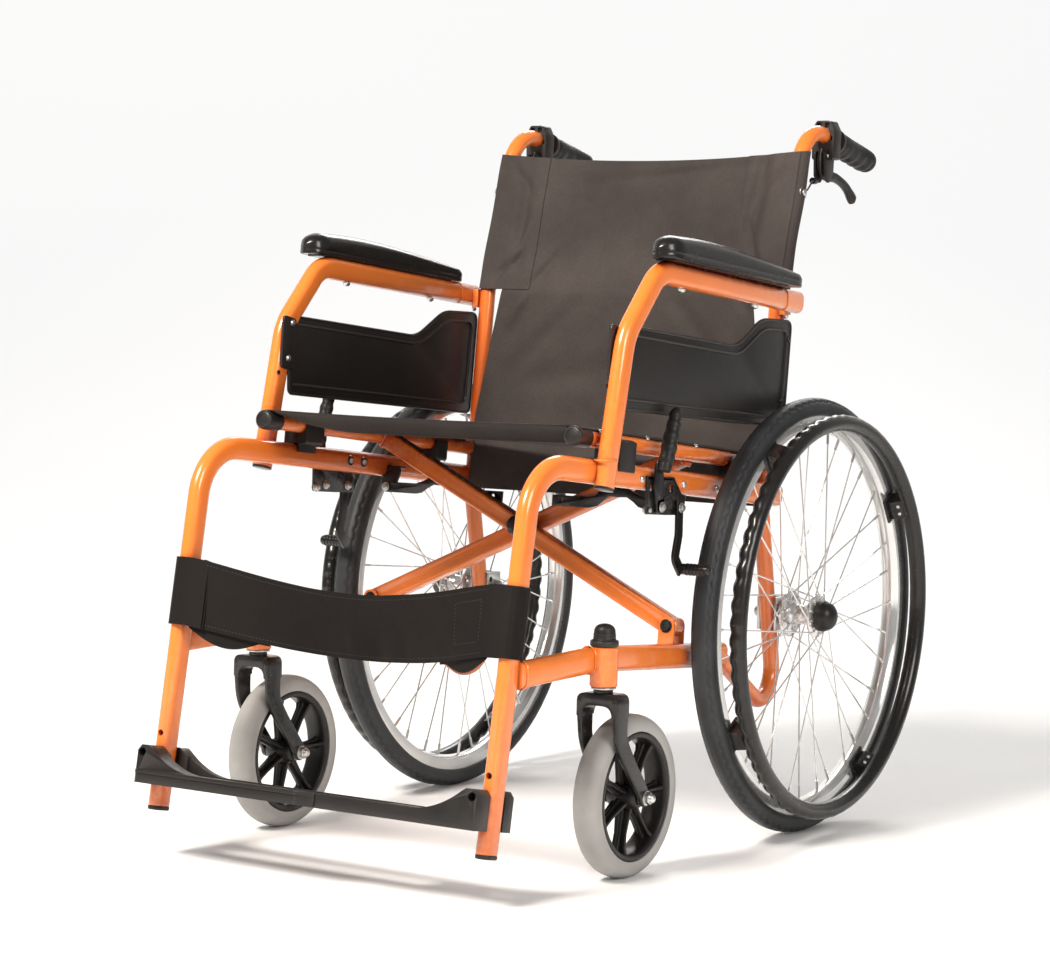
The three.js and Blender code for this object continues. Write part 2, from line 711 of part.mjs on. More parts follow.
function crossBolt() {
  const front = brace.frontPlane - brace.depth / 2 - GAP;
  const rear = brace.rearPlane + brace.depth / 2 + GAP;
  const shaft = rod("y", pivot.pin, rear - front + 4, [0, (front + rear) / 2, pivot.crossZ]);
  const cap = rod("y", 13, 9, [0, front - 4.5, pivot.crossZ], 20);
  const nut = rod("y", 8, 6, [0, rear + 3, pivot.crossZ], 6);
  return tipped(join(shaft, cap, nut));
}

// A flat stay with a raised hump in its middle, from the clip's pin towards the brace.
function stayLink(plane) {
  const end = stay.x - stay.reach;
  const [half, top] = [stay.bar / 2, stay.z + stay.hump];
  const shape = new THREE.Shape();
  shape.moveTo(end - half, stay.z - 10);
  shape.lineTo(end + 52, stay.z - 10);
  shape.bezierCurveTo(end + 74, stay.z - 10, end + 62, top - stay.bar, end + 92, top - stay.bar);
  shape.bezierCurveTo(end + 122, top - stay.bar, end + 108, stay.z - half, end + 134, stay.z - half);
  shape.lineTo(stay.x, stay.z - half);
  shape.absarc(stay.x, stay.z, half, -Math.PI / 2, Math.PI / 2);
  shape.lineTo(end + 134, stay.z + half);
  shape.bezierCurveTo(end + 116, stay.z + half, end + 126, top, end + 92, top);
  shape.bezierCurveTo(end + 56, top, end + 68, stay.z + 4, end + 50, stay.z + 4);
  shape.lineTo(end - half, stay.z + 4);
  const bar = slabXZ(shape, plane - stay.thickness / 2, plane + stay.thickness / 2, 4);
  return tipped(cut(bar, rod("y", stay.pin + RUNNING, 30, [stay.x, plane, stay.z], 12)));
}

// ---------------------------------------------------------------- footplate
// The outline of the plate from the front: raised ears with a concave sweep down to the tread.
function earShape() {
  const { ear, earTop, bottom, top } = footplate;
  const shape = new THREE.Shape();
  shape.moveTo(-ear, bottom);
  shape.lineTo(ear, bottom);
  shape.lineTo(ear, earTop - 7);
  shape.quadraticCurveTo(ear, earTop, ear - 7, earTop);
  shape.lineTo(ear - 16, earTop);
  shape.bezierCurveTo(ear - 36, earTop, ear - 40, top, ear - 78, top);
  shape.lineTo(-ear + 78, top);
  shape.bezierCurveTo(-ear + 40, top, -ear + 36, earTop, -ear + 16, earTop);
  shape.lineTo(-ear + 7, earTop);
  shape.quadraticCurveTo(-ear, earTop, -ear, earTop - 7);
  return shape;
}

// Two bars with a tread between them; the far leg slides along the slot as the chair folds.
function footplateSolid() {
  const clear = oval.depth / 2 + 0.8;
  const { front, rear, slot, farSlot, bottom, top } = footplate;
  const tread = [slot - farSlot, 2 * clear + 2, top - bottom];
  const middle = block(tread, [(slot + farSlot) / 2, 0, (top + bottom) / 2]);
  const lip = block([258, 15, top - bottom], [-109, front - 7, (top + bottom) / 2]);
  const nose = block([230, 5, top - bottom], [134, front - 2, (top + bottom) / 2]);
  const bands = [slabXZ(earShape(), front, -clear, 4), slabXZ(earShape(), clear, rear, 4)];
  const bore = rod("y", footplate.bolt + RUNNING, 160, [leg.x, 0, 0], 12);
  const recesses = [-leg.x, leg.x].map((x) => rod("y", 6.5, 16, [x, front, 0], 16));
  return cut(join(middle, lip, nose, ...bands), bore, ...recesses);
}

function footplateBolt() {
  const head = rod("y", 5.8, 6, [leg.x, footplate.front + 4.4, 0], 12);
  const end = footplate.rear - 1;
  const start = footplate.front + 2;
  return join(head, rod("y", footplate.bolt, end - start, [leg.x, (start + end) / 2, 0], 12));
}

// ---------------------------------------------------------------- soft goods
function calfStrap() {
  const { standOff, sag, centre } = strap;
  const corners = [
    point(-strap.halfWidth, -standOff, centre),
    point(-228, -standOff, centre),
    point(-120, -standOff + 16, centre - sag * 0.72),
    point(0, -standOff + 24, centre - sag),
    point(120, -standOff + 16, centre - sag * 0.72),
    point(228, -standOff, centre),
    point(strap.halfWidth, -standOff, centre),
  ];
  return sweep(rectangle(strap.height, strap.thickness), corners, 1, point(0, 0, -1));
}

function seatSling() {
  const [front, rear] = [seatTube.frontY + 12, seatTube.rearY + 2];
  const slab = new THREE.BoxGeometry(2 * (seatTube.x + tubeRadius), rear - front, fabric);
  slab.rotateX(-foldTilt);
  const middle = (front + rear) / 2;
  return asSolid(slab.translate(0, middle, seatHeight(middle) + tubeRadius + fabric / 2 + 0.6));
}

// A fabric panel that leans back with a stretch of the back posts, just in front of them.
function leaningPanel(points, lean) {
  const [, footY, footZ] = postCorners[3];
  const geometry = new THREE.ExtrudeGeometry(outline(points), { depth: fabric, bevelEnabled: false });
  geometry.rotateX(Math.PI / 2).translate(0, -tubeRadius - 0.8, 0).rotateX(-lean);
  return asSolid(geometry.translate(0, footY, footZ));
}

function backUpholstery() {
  const leanOf = (low, high) => Math.atan2(high[1] - low[1], high[2] - low[2]);
  const upper = leaningPanel([[-246, 4], [246, 4], [246, 194], [0, 188], [-246, 194]],
    leanOf(postCorners[3], postCorners[4]));
  const flap = [[-232, -276], [232, -276], [229, -178], [201, 8], [-201, 8], [-229, -178]];
  return join(upper, leaningPanel(flap, leanOf(postCorners[2], postCorners[3])));
}

// ---------------------------------------------------------------- assembly
const sides = [
  { prefix: "left", sign: 1, bracePlane: brace.frontPlane, stayPlane: -264.6, clipSide: -1 },
  { prefix: "right", sign: -1, bracePlane: brace.rearPlane, stayPlane: -257.6, clipSide: 1 },
];

for (const side of sides) {
  const group = new THREE.Group();
  group.scale.x = side.sign;
  chair.add(group);
  const add = (name, solid, finish) => place(group, `${side.prefix}_${name}`, solid, finish);
  add("side_frame", sideFrame(side), "orange_paint");
  add("leg_plug", legPlug(), "black_plastic");
  add("caster_cap", casterCap(), "grip_rubber");
  add("armrest_pad", armrestPad(), "armrest_skin");
  add("skirt_guard", skirtGuard(), "black_plastic");
  add("axle_bracket", axleBracket(), "silver_steel");
  add("axle", axleBolt(), "silver_steel");
  add("push_grip", pushGrip(), "grip_rubber");
  add("lever_bracket", leverBracket(), "black_plastic");
  add("attendant_lever", attendantLever(), "black_plastic");
  add("lock_plate", lockPlate(), "black_steel");
  add("lock_handle", lockHandle(), "grip_rubber");
  add("lock_arm", lockArm(), "black_steel");
  add("stay_link", stayLink(side.stayPlane), "black_steel");
  add("seat_guide_front", seatGuide(guideY.front), "black_plastic");
  add("seat_guide_rear", seatGuide(guideY.rear), "black_plastic");
  rearWheel(group, side.prefix);
  casterAssembly(group, side.prefix);
}

place(chair, "brace_front", braceWithSeatTube(brace.frontPlane, 1), "orange_paint");
place(chair, "brace_rear", braceWithSeatTube(brace.rearPlane, -1), "orange_paint");
place(chair, "cross_bolt", crossBolt(), "black_steel");
place(chair, "seat_sling", seatSling(), "upholstery");
place(chair, "back_upholstery", backUpholstery(), "upholstery");

const onLegs = legGroup();
place(onLegs, "footplate", footplateSolid(), "black_plastic");
place(onLegs, "footplate_bolt", footplateBolt(), "silver_steel");
place(onLegs, "calf_strap", calfStrap(), "upholstery");

chair.position.y = -middleY;

export default chair;
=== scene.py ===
import math

import bmesh
import bpy
from mathutils import Matrix, Vector


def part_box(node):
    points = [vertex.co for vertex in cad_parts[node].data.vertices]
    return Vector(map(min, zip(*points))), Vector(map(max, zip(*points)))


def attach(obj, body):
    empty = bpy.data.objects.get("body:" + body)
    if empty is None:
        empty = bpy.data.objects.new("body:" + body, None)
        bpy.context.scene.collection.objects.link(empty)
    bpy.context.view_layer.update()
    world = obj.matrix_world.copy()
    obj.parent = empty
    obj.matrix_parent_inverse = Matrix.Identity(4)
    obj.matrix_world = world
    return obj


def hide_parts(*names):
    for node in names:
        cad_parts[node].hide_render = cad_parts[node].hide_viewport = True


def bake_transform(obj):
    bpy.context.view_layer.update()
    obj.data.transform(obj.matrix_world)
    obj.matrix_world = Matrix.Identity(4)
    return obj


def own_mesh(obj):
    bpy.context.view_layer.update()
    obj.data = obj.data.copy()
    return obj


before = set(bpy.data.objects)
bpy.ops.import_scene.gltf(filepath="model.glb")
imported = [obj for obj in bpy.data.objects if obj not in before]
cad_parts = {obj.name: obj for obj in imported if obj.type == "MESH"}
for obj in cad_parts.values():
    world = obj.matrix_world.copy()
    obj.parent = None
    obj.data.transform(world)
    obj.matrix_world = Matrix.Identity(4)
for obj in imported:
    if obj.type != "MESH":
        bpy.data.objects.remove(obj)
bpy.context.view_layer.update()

# Folding manual wheelchair. Shapes are drawn in millimetres with X to the user's left, Z up and
# Y counted backwards from the rear axle; piece() turns them into metres in the frame.
MM = 0.001
axle_low, axle_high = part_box("left_axle")
AXLE_Y = (axle_low.y + axle_high.y) / 2
SIDES = {"left": 1, "right": -1}
UP = Vector((0, 0, 1))
ACROSS = Vector((1, 0, 0))
REARWARD = Vector((0, 1, 0))

# ---------------------------------------------------------------- driving dimensions
TUBE = 11  # radius of the round tubes
OVAL = (20, 30)  # flat-sided oval tube
LEG = {"x": 245, "y": -699.4, "z": 59, "lean": 0.1711, "bend": 68}
RAIL = {"y": -538, "z": 501, "fall": 0.1016, "end": -28}
POST = [(250, -190, 253), (233, 10, 140), (233, -46, 432), (233, -17, 712), (233, 47, 945), (233, 231, 905.5)]
POST_BENDS = [40, 60, 80, 55]
ARM = [(260, -488, 478), (260, -447, 660), (260, -374, 738), (260, 5, 704)]
ARM_BENDS = [70, 45]
ARM_END = -13  # Y of the closed rear end of the arm tube
SEAT = {"x": 234, "front": -527, "rear": -66, "z": 540.3, "fall": 0.1022}
PIVOT = {"x": 239, "z": 292, "cross": 403.8, "top": 512.5, "front": -272, "rear": -250}
BRACE_PLANE = {"left": PIVOT["front"], "right": PIVOT["rear"]}
STAY_PLANE = {"left": -264.6, "right": -257.6}
STAY = {"x": 231, "z": 444, "reach": 182.5, "bar": 14, "thickness": 3.4, "hump": 20}
WHEEL = {"x": 281, "z": 290, "radius": 290, "half": 16.7}
RIM = {"outer": 269.4, "bed": 261.5, "inner": 246, "half": 12.5}
HUB = {"inner": -24, "outer": 16, "flange": 31, "barrel": 13, "spokes": 36}
HAND_RIM = {"x": 40, "radius": 258, "tube": 11, "first": 0.567}
CASTER = {"x": 264, "y": -484, "trail": 57}
FOOT = {"z": 128, "ear": 252, "ear_top": 9, "bottom": -38, "top": -22, "front": -44, "rear": 33}
LOCK = {"x": 261, "pivot": (-358, 449), "arm": (-310, 446)}
RAIL_BOLTS = (-331, -302)  # Y of the two bolts inside the upper rail


# ---------------------------------------------------------------- shells
# A shell is (points, faces). Everything below works in millimetres.
def point(x, y, z):
    return Vector((x, y, z))


def moved(shell, matrix):
    return [matrix @ p for p in shell[0]], shell[1]


def turned_about(shell, centre, angle, axis="X"):
    spin = Matrix.Rotation(angle, 4, axis)
    return moved(shell, Matrix.Translation(centre) @ spin @ Matrix.Translation(-Vector(centre)))


def circle(radius, sides=24, start=0.0):
    steps = [start + math.tau * i / sides for i in range(sides)]
    return [(radius * math.cos(a), radius * math.sin(a)) for a in steps]


def oval(width, depth, arc=10):
    """A flat-sided oval: two half circles joined by straight lines."""
    straight = (depth - width) / 2
    half = [(math.cos(math.pi * i / arc), math.sin(math.pi * i / arc)) for i in range(arc + 1)]
    top = [(width / 2 * c, width / 2 * s + straight) for c, s in half]
    return top + [(-a, -b) for a, b in top]


def filleted(corners, steps=5):
    """An outline through (a, b, radius) corners, with a round of that radius at each one."""
    outline = []
    for i, (a, b, radius) in enumerate(corners):
        here = Vector((a, b))
        before = Vector(corners[i - 1][:2]) - here
        after = Vector(corners[(i + 1) % len(corners)][:2]) - here
        if radius <= 0:
            outline.append((a, b))
            continue
        half = before.angle(after) / 2
        reach = min(radius / math.tan(half), before.length * 0.49, after.length * 0.49)
        start, end = here + before.normalized() * reach, here + after.normalized() * reach
        for step in range(steps + 1):
            t = step / steps
            place = start * (1 - t) ** 2 + here * 2 * t * (1 - t) + end * t * t
            outline.append((place.x, place.y))
    return outline


def rectangle(width, height, radius=0.0):
    x, y = width / 2, height / 2
    return filleted([(-x, -y, radius), (x, -y, radius), (x, y, radius), (-x, y, radius)], 4)


def bent(corners, bends, degrees=6):
    """Stations of a path through corners, with a round bend at each inner corner."""
    corners = [Vector(c) for c in corners]
    stations = [corners[0]]
    for i, bend in enumerate(bends):
        corner = corners[i + 1]
        back, onward = (corners[i] - corner).normalized(), (corners[i + 2] - corner).normalized()
        turn = math.pi - back.angle(onward)
        inward, across = (back + onward).normalized(), (onward - back).normalized()
        centre = corner + inward * (bend / math.cos(turn / 2))
        steps = max(3, round(math.degrees(turn) / degrees))
        for step in range(steps + 1):
            angle = turn * (step / steps - 0.5)
            stations.append(centre - inward * bend * math.cos(angle) + across * bend * math.sin(angle))
    return stations + [corners[-1]]


def smooth_path(corners, count=24):
    """A Catmull-Rom curve through the corners."""
    pts = [Vector(c) for c in corners]
    pts = [pts[0] * 2 - pts[1]] + pts + [pts[-1] * 2 - pts[-2]]
    spans = len(pts) - 3
    path = []
    for step in range(count + 1):
        place = min(step / count * spans, spans - 1e-6)
        i, t = int(place), place - int(place)
        a, b, c, d = pts[i : i + 4]
        path.append(
            0.5 * (2 * b + (c - a) * t + (2 * a - 5 * b + 4 * c - d) * t * t + (3 * b - a - 3 * c + d) * t**3)
        )
    return path


def ring_faces(rings, size, closed):
    faces = []
    for i in range(rings if closed else rings - 1):
        for j in range(size):
            a, b = i * size, (i + 1) % rings * size
            k = (j + 1) % size
            faces.append((a + j, a + k, b + k, b + j))
    return faces


def capped(rings, size):
    """The faces of a tube of rings, with both ends closed."""
    first, last = range(size), range((rings - 1) * size, rings * size)
    return ring_faces(rings, size, False) + [tuple(reversed(first)), tuple(last)]


def sweep(path, section, facing=ACROSS, closed=False, sizes=None):
    """A section carried along a path, its first axis kept towards facing; sizes scale it at each station."""
    points, count = [], len(path)
    for i, here in enumerate(path):
        before = path[i - 1] if i or closed else here
        after = path[(i + 1) % count] if i < count - 1 or closed else here
        tangent = ((here - before).normalized() + (after - here).normalized()).normalized()
        side = (facing - tangent * tangent.dot(facing)).normalized()
        up = tangent.cross(side)
        wide, tall = sizes[i] if sizes else (1, 1)
        points += [here + side * (a * wide) + up * (b * tall) for a, b in section]
    size = len(section)
    return points, ring_faces(count, size, True) if closed else capped(count, size)


AXES = {"x": (ACROSS, REARWARD, UP), "y": (REARWARD, UP, ACROSS), "z": (UP, ACROSS, REARWARD)}


def lathe(profile, axis, centre=(0, 0, 0), sides=48):
    """Turns a profile of (distance, radius) about an axis; it ends on the axis or closes on itself."""
    along, right, up = AXES[axis]
    centre = Vector(centre)
    points, rings = [], []
    for distance, radius in profile:
        middle = centre + along * distance
        if radius == 0:
            rings.append([len(points)] * sides)
            points.append(middle)
            continue
        rings.append([len(points) + i for i in range(sides)])
        points += [middle + right * a + up * b for a, b in circle(radius, sides)]
    if profile[0][1]:
        rings.append(rings[0])
    faces = []
    for low, high in zip(rings, rings[1:]):
        for i in range(sides):
            k = (i + 1) % sides
            corners = []
            for index in (low[i], low[k], high[k], high[i]):
                if index not in corners:
                    corners.append(index)
            if len(corners) > 2:
                faces.append(tuple(corners))
    return points, faces


def prism(outline, axis, low, high):
    """An outline in the plane square to an axis, (Y, Z) for x and (X, Z) for y and (X, Y) for z."""
    place = {
        "x": lambda a, b, d: point(d, a, b),
        "y": lambda a, b, d: point(a, d, b),
        "z": lambda a, b, d: point(a, b, d),
    }[axis]
    return [place(a, b, d) for d in (low, high) for a, b in outline], capped(2, len(outline))


def block(size, centre, radius=0.0):
    x, y, z = centre
    outline = [(a + x, b + y) for a, b in rectangle(size[0], size[1], radius)]
    return prism(outline, "z", z - size[2] / 2, z + size[2] / 2)


def rod(axis, radius, low, high, centre=(0, 0, 0), sides=24, edge=0.6):
    """A round bar from low to high along an axis, with its two edges rounded."""
    edge = min(edge, radius / 2)
    profile = [(low, 0), (low, radius - edge), (low + edge, radius), (high - edge, radius)]
    return lathe(profile + [(high, radius - edge), (high, 0)], axis, centre, sides)


def bore(axis, radius, low, high, centre=(0, 0, 0), sides=20):
    """A sharp-edged bar that cuts a hole."""
    return rod(axis, radius, low, high, centre, sides, 0.01)


def washer(axis, low, high, hole, radius, centre=(0, 0, 0), sides=32):
    """A plain ring from low to high along an axis, or a disc when the hole is 0."""
    return lathe([(low, hole), (low, radius), (high, radius), (high, hole)], axis, centre, sides)


def both_ways(profile):
    """Half of a lathe profile and its mirror image in the middle plane."""
    return profile + [(-x, r) for x, r in reversed(profile)]


def between(start, end, radius, sides=8):
    """A thin straight bar between two points."""
    facing = ACROSS if abs((end - start).normalized().x) < 0.9 else UP
    return sweep([start, end], circle(radius, sides), facing)


def ball(centre, radii, sides=16):
    """A rounded body with three radii."""
    steps = [math.pi * i / 8 for i in range(9)]
    profile = [(-math.cos(a), math.sin(a) if 0 < i < 8 else 0) for i, a in enumerate(steps)]
    points, faces = lathe(profile, "z", (0, 0, 0), sides)
    x, y, z = radii
    return [Vector(centre) + Vector((p.x * x, p.y * y, p.z * z)) for p in points], faces


def aimed(shells, centre, outward):
    """Shells drawn up the Z axis, carried to a place and pointed outwards."""
    turn = UP.rotation_difference(Vector(outward).normalized()).to_matrix().to_4x4()
    return [moved(shell, Matrix.Translation(centre) @ turn) for shell in shells]


def screw(centre, outward, radius=4.0, height=2.6):
    """A pan-head screw with a raised hexagon in its middle."""
    profile = [(-3, 0), (-3, radius * 0.5), (0, radius * 0.5), (0, radius), (height * 0.5, radius * 0.95)]
    profile += [(height * 0.85, radius * 0.72), (height, radius * 0.4), (height, 0)]
    drive = washer("z", height - 0.2, height + 0.25, 0, radius * 0.36, sides=6)
    return aimed([lathe(profile, "z", sides=20), drive], centre, outward)


def bolt(centre, outward, radius=6.0, height=5.0, seated=True):
    """A hexagon head, on a washer when it is seated."""
    head = [(1, 0), (1, radius), (height - 0.8, radius), (height, radius * 0.86), (height, 0)]
    shells = [lathe(head, "z", sides=6)]
    if seated:
        shells.append(washer("z", 0, 1.2, 0, radius * 1.3, sides=28))
    return aimed(shells, centre, outward)


def acorn(centre, outward, radius=6.5):
    """A domed nut."""
    shape = [(0, 0), (0, 1.08), (1 / radius, 1.15), (0.9, 1.1), (1, 0.9), (1, 0)]
    hexagon = [(radius * along, radius * across) for along, across in shape]
    dome = [(radius * 0.8, 0), (radius * 0.8, radius * 0.86)]
    dome += [(radius * (0.95 + 0.8 * math.sin(a)), radius * 0.84 * math.cos(a)) for a in (0.3, 0.7, 1.1, 1.4)]
    dome.append((radius * 1.76, 0))
    return aimed([lathe(hexagon, "z", sides=6), lathe(dome, "z", sides=24)], centre, outward)


def flipped(shells, sign):
    return [([Vector((p.x * sign, p.y, p.z)) for p in points], faces) for points, faces in shells]


# ---------------------------------------------------------------- pieces
def to_metres(p):
    return Vector((p.x * MM, p.y * MM + AXLE_Y, p.z * MM))


def make_mesh(name, shells):
    """One mesh from several shells, in metres in the frame."""
    mesh = bpy.data.meshes.new(name)
    points, faces = [], []
    for shell_points, shell_faces in shells:
        first = len(points)
        points += [to_metres(p) for p in shell_points]
        faces += [tuple(first + i for i in face) for face in shell_faces]
    mesh.from_pydata(points, [], faces)
    return mesh


def carved(shell, *cutters):
    """A shell with other shells cut out of it, by an exact boolean."""
    objects = []
    for part in ([shell], list(cutters)):
        mesh = make_mesh("carving", part)
        work = bmesh.new()
        work.from_mesh(mesh)
        bmesh.ops.recalc_face_normals(work, faces=work.faces)
        work.to_mesh(mesh)
        work.free()
        thing = bpy.data.objects.new("carving", mesh)
        bpy.context.scene.collection.objects.link(thing)
        objects.append(thing)
    body, tool = objects
    modifier = body.modifiers.new("cut", "BOOLEAN")
    modifier.operation = "DIFFERENCE"
    modifier.solver = "EXACT"
    modifier.use_self = len(cutters) > 1
    modifier.object = tool
    result = body.evaluated_get(bpy.context.evaluated_depsgraph_get()).to_mesh()
    points = [Vector((v.co.x / MM, (v.co.y - AXLE_Y) / MM, v.co.z / MM)) for v in result.vertices]
    faces = [tuple(p.vertices) for p in result.polygons]
    for thing in objects:
        bpy.data.objects.remove(thing)
    return points, faces


def piece(name, shells, finish, body, replaces=(), bevel=0.0, segments=2, angle=30, smooth=35, sign=1):
    """One named object from closed shells, its sharp edges rounded by bevel, riding on a body."""
    mesh = make_mesh(name, flipped(shells, sign))
    work = bmesh.new()
    work.from_mesh(mesh)
    bmesh.ops.recalc_face_normals(work, faces=work.faces)
    if bevel:
        limit = math.radians(angle)
        sharp = [e for e in work.edges if e.is_manifold and e.calc_face_angle(0) > limit]
        shape = {"offset": bevel * MM, "segments": segments, "profile": 0.5}
        bmesh.ops.bevel(work, geom=sharp, affect="EDGES", clamp_overlap=True, **shape)
    for face in work.faces:
        face.smooth = True
    work.to_mesh(mesh)
    work.free()
    mesh.set_sharp_from_angle(angle=math.radians(smooth))
    return finished(name, mesh, finish, body, replaces)


def side_piece(side, name, shells, finish, body, stands_for="", bevel=0.0, *shading, **more):
    """A piece of one side, drawn for the left side and mirrored for the right one."""
    replaces = [f"{side}_{stands_for}"] if stands_for else ()
    body = f"{side}_{body}"
    piece(f"{side}_{name}", shells, finish, body, replaces, bevel, *shading, sign=SIDES[side], **more)


def finished(name, mesh, finish, body, replaces=()):
    """The mesh as an object with its materials, its body and the CAD nodes that it stands for."""
    thing = bpy.data.objects.new(name, mesh)
    bpy.context.scene.collection.objects.link(thing)
    materials = finish if isinstance(finish, list) else [finish]
    for material in materials:
        mesh.materials.append(material)
    if body:
        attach(thing, body)
    if replaces:
        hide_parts(*replaces)
    return thing


# ---------------------------------------------------------------- finishes
class Nodes:
    """A short way to add and join shader nodes."""

    def __init__(self, name, slot):
        self.material = bpy.data.materials.new(name)
        self.material.use_nodes = True
        self.material["slot"] = slot
        self.tree = self.material.node_tree
        self.shader = self.tree.nodes["Principled BSDF"]
        self.place = self.add("ShaderNodeTexCoord").outputs["Object"]

    def add(self, kind, **values):
        node = self.tree.nodes.new(kind)
        for key, value in values.items():
            if hasattr(node, key):
                setattr(node, key, value)
            else:
                self.set(node.inputs[key.replace("_", " ").title()], value)
        return node

    def set(self, socket, value):
        if isinstance(value, bpy.types.NodeSocket):
            self.tree.links.new(value, socket)
        else:
            socket.default_value = value

    def noise(self, scale, detail=4.0, roughness=0.5):
        values = {"scale": scale, "detail": detail, "roughness": roughness}
        return self.add("ShaderNodeTexNoise", vector=self.place, **values)

    def cells(self, scale):
        return self.add("ShaderNodeTexVoronoi", vector=self.place, scale=scale).outputs["Distance"]

    def threads(self, direction, pitch):
        """Parallel threads of a weave, one every pitch millimetres."""
        scale = math.tau / (20 * pitch * MM)
        wave = self.add("ShaderNodeTexWave", bands_direction=direction, vector=self.place, scale=scale)
        self.set(wave.inputs["Distortion"], 0.6)
        self.set(wave.inputs["Detail Scale"], 1.0)
        return wave.outputs["Fac"]

    def ramp(self, fac, low, high, start=0.3, end=0.7):
        node = self.add("ShaderNodeValToRGB")
        self.set(node.inputs["Fac"], fac)
        node.color_ramp.elements[0].position, node.color_ramp.elements[1].position = start, end
        node.color_ramp.elements[0].color = (*low, 1)
        node.color_ramp.elements[1].color = (*high, 1)
        return node.outputs["Color"]

    def mix(self, fac, first, second, mode="MIX"):
        node = self.add("ShaderNodeMix", data_type="RGBA", blend_type=mode)
        colours = [s for s in node.inputs if s.type == "RGBA"]
        self.set(node.inputs[0], fac)
        self.set(colours[0], first if isinstance(first, bpy.types.NodeSocket) else (*first, 1))
        self.set(colours[1], second if isinstance(second, bpy.types.NodeSocket) else (*second, 1))
        return next(s for s in node.outputs if s.type == "RGBA")

    def span(self, fac, low, high):
        node = self.add("ShaderNodeMapRange")
        self.set(node.inputs["Value"], fac)
        self.set(node.inputs["To Min"], low)
        self.set(node.inputs["To Max"], high)
        return node.outputs["Result"]

    def bump(self, height, distance, strength=1.0, before=None):
        """A bump whose height is distance millimetres, laid over the one before."""
        node = self.add("ShaderNodeBump", strength=strength)
        self.set(node.inputs["Distance"], distance * MM)
        self.set(node.inputs["Height"], height)
        if before is not None:
            self.set(node.inputs["Normal"], before)
        return node.outputs["Normal"]

    def edges(self, low=0.52, high=0.6):
        """Bright where an edge sticks out, for wear."""
        node = self.add("ShaderNodeNewGeometry")
        return self.span_between(node.outputs["Pointiness"], low, high)

    def span_between(self, fac, start, end):
        node = self.add("ShaderNodeMapRange")
        self.set(node.inputs["Value"], fac)
        self.set(node.inputs["From Min"], start)
        self.set(node.inputs["From Max"], end)
        return node.outputs["Result"]

    def finish(self, colour, roughness, normal, **more):
        self.set(self.shader.inputs["Base Color"], colour)
        self.set(self.shader.inputs["Roughness"], roughness)
        if normal is not None:
            self.set(self.shader.inputs["Normal"], normal)
        for name, value in more.items():
            self.set(self.shader.inputs[name.replace("_", " ")], value)
        return self.material


def coated(name, slot, light, dark, rough, mottle=14, grain=900, depth=0.02, wear=None, shade=None, **more):
    """A painted, moulded or plated surface: mottled colour, uneven gloss, a fine grain and rubbed edges, and,
    when a shade colour is given, painted shade that deepens the colour where ambient occlusion finds the
    surface sheltered.
    """
    nodes = Nodes(name, slot)
    cloud = nodes.noise(mottle, 5).outputs["Fac"]
    colour = nodes.ramp(cloud, dark, light)
    if shade:
        # Painted shade: the colour turns to the shade colour wherever ambient occlusion finds the surface
        # sheltered.
        painted_shade_occlusion = nodes.add("ShaderNodeAmbientOcclusion", samples=6)
        nodes.set(painted_shade_occlusion.inputs["Distance"], 0.3)
        colour = nodes.mix(nodes.span_between(painted_shade_occlusion.outputs["AO"], 0.3, 0.75), shade, colour)
    if wear:
        patches = nodes.ramp(nodes.noise(60, 6, 0.7).outputs["Fac"], (0, 0, 0), (1, 1, 1), 0.45, 0.7)
        rubbed = nodes.mix(1.0, patches, nodes.edges(), "MULTIPLY")
        colour = nodes.mix(rubbed, colour, wear)
    roughness = nodes.span(nodes.noise(mottle * 6, 4).outputs["Fac"], *rough)
    normal = nodes.bump(nodes.noise(grain, 2).outputs["Fac"], depth)
    return nodes.finish(colour, roughness, normal, **more)


def grained(name, slot, light, dark, rough, cell, depth, mottle=10, wear=None, **more):
    """Moulded plastic, rubber or integral skin with a leather-like cell grain."""
    nodes = Nodes(name, slot)
    colour = nodes.ramp(nodes.noise(mottle, 5).outputs["Fac"], dark, light)
    if wear:
        colour = nodes.mix(nodes.edges(), colour, wear)
    roughness = nodes.span(nodes.noise(mottle * 7, 5).outputs["Fac"], *rough)
    coarse = nodes.bump(nodes.cells(1000 / cell), depth)
    normal = nodes.bump(nodes.noise(2600 / cell, 3).outputs["Fac"], depth * 0.5, 1.0, coarse)
    return nodes.finish(colour, roughness, normal, **more)


def woven(name, light, dark, pitch, across, along, sheen):
    """A plain weave of two thread directions with a heathered colour, partly blotched with painted shade, and
    painted shade in the gaps between threads.
    """
    nodes = Nodes(name, "upholstery")
    # Large blotches of darker and lighter tone: partly colour variation, partly painted shade standing in for
    # the soft shading of folds.
    cloud = nodes.ramp(nodes.noise(7, 6, 0.6).outputs["Fac"], dark, light, 0.25, 0.75)
    fine = nodes.noise(700, 3, 0.8).outputs["Fac"]
    flecks = nodes.ramp(fine, (0.72, 0.70, 0.70), (1.22, 1.2, 1.18), 0.35, 0.68)
    colour = nodes.mix(0.8, cloud, flecks, "MULTIPLY")
    first, second = nodes.threads(across, pitch), nodes.threads(along, pitch)
    gap_shade_mask = nodes.add("ShaderNodeMath", operation="MULTIPLY")
    nodes.set(gap_shade_mask.inputs[0], first)
    nodes.set(gap_shade_mask.inputs[1], second)
    # Painted shade: the gaps between the threads are darkened towards black.
    colour = nodes.mix(nodes.span(gap_shade_mask.outputs[0], 0.2, 0.0), colour, (0.008, 0.007, 0.007))
    normal = nodes.bump(first, 0.08, 0.8)
    normal = nodes.bump(second, 0.08, 0.8, normal)
    normal = nodes.bump(nodes.noise(38, 5).outputs["Fac"], 2.4, 0.5, normal)
    return nodes.finish(
        colour, 0.66, normal, Sheen_Weight=sheen, Sheen_Roughness=0.45, Sheen_Tint=(0.9, 0.85, 0.8, 1),
        Specular_IOR_Level=0.14,
    )


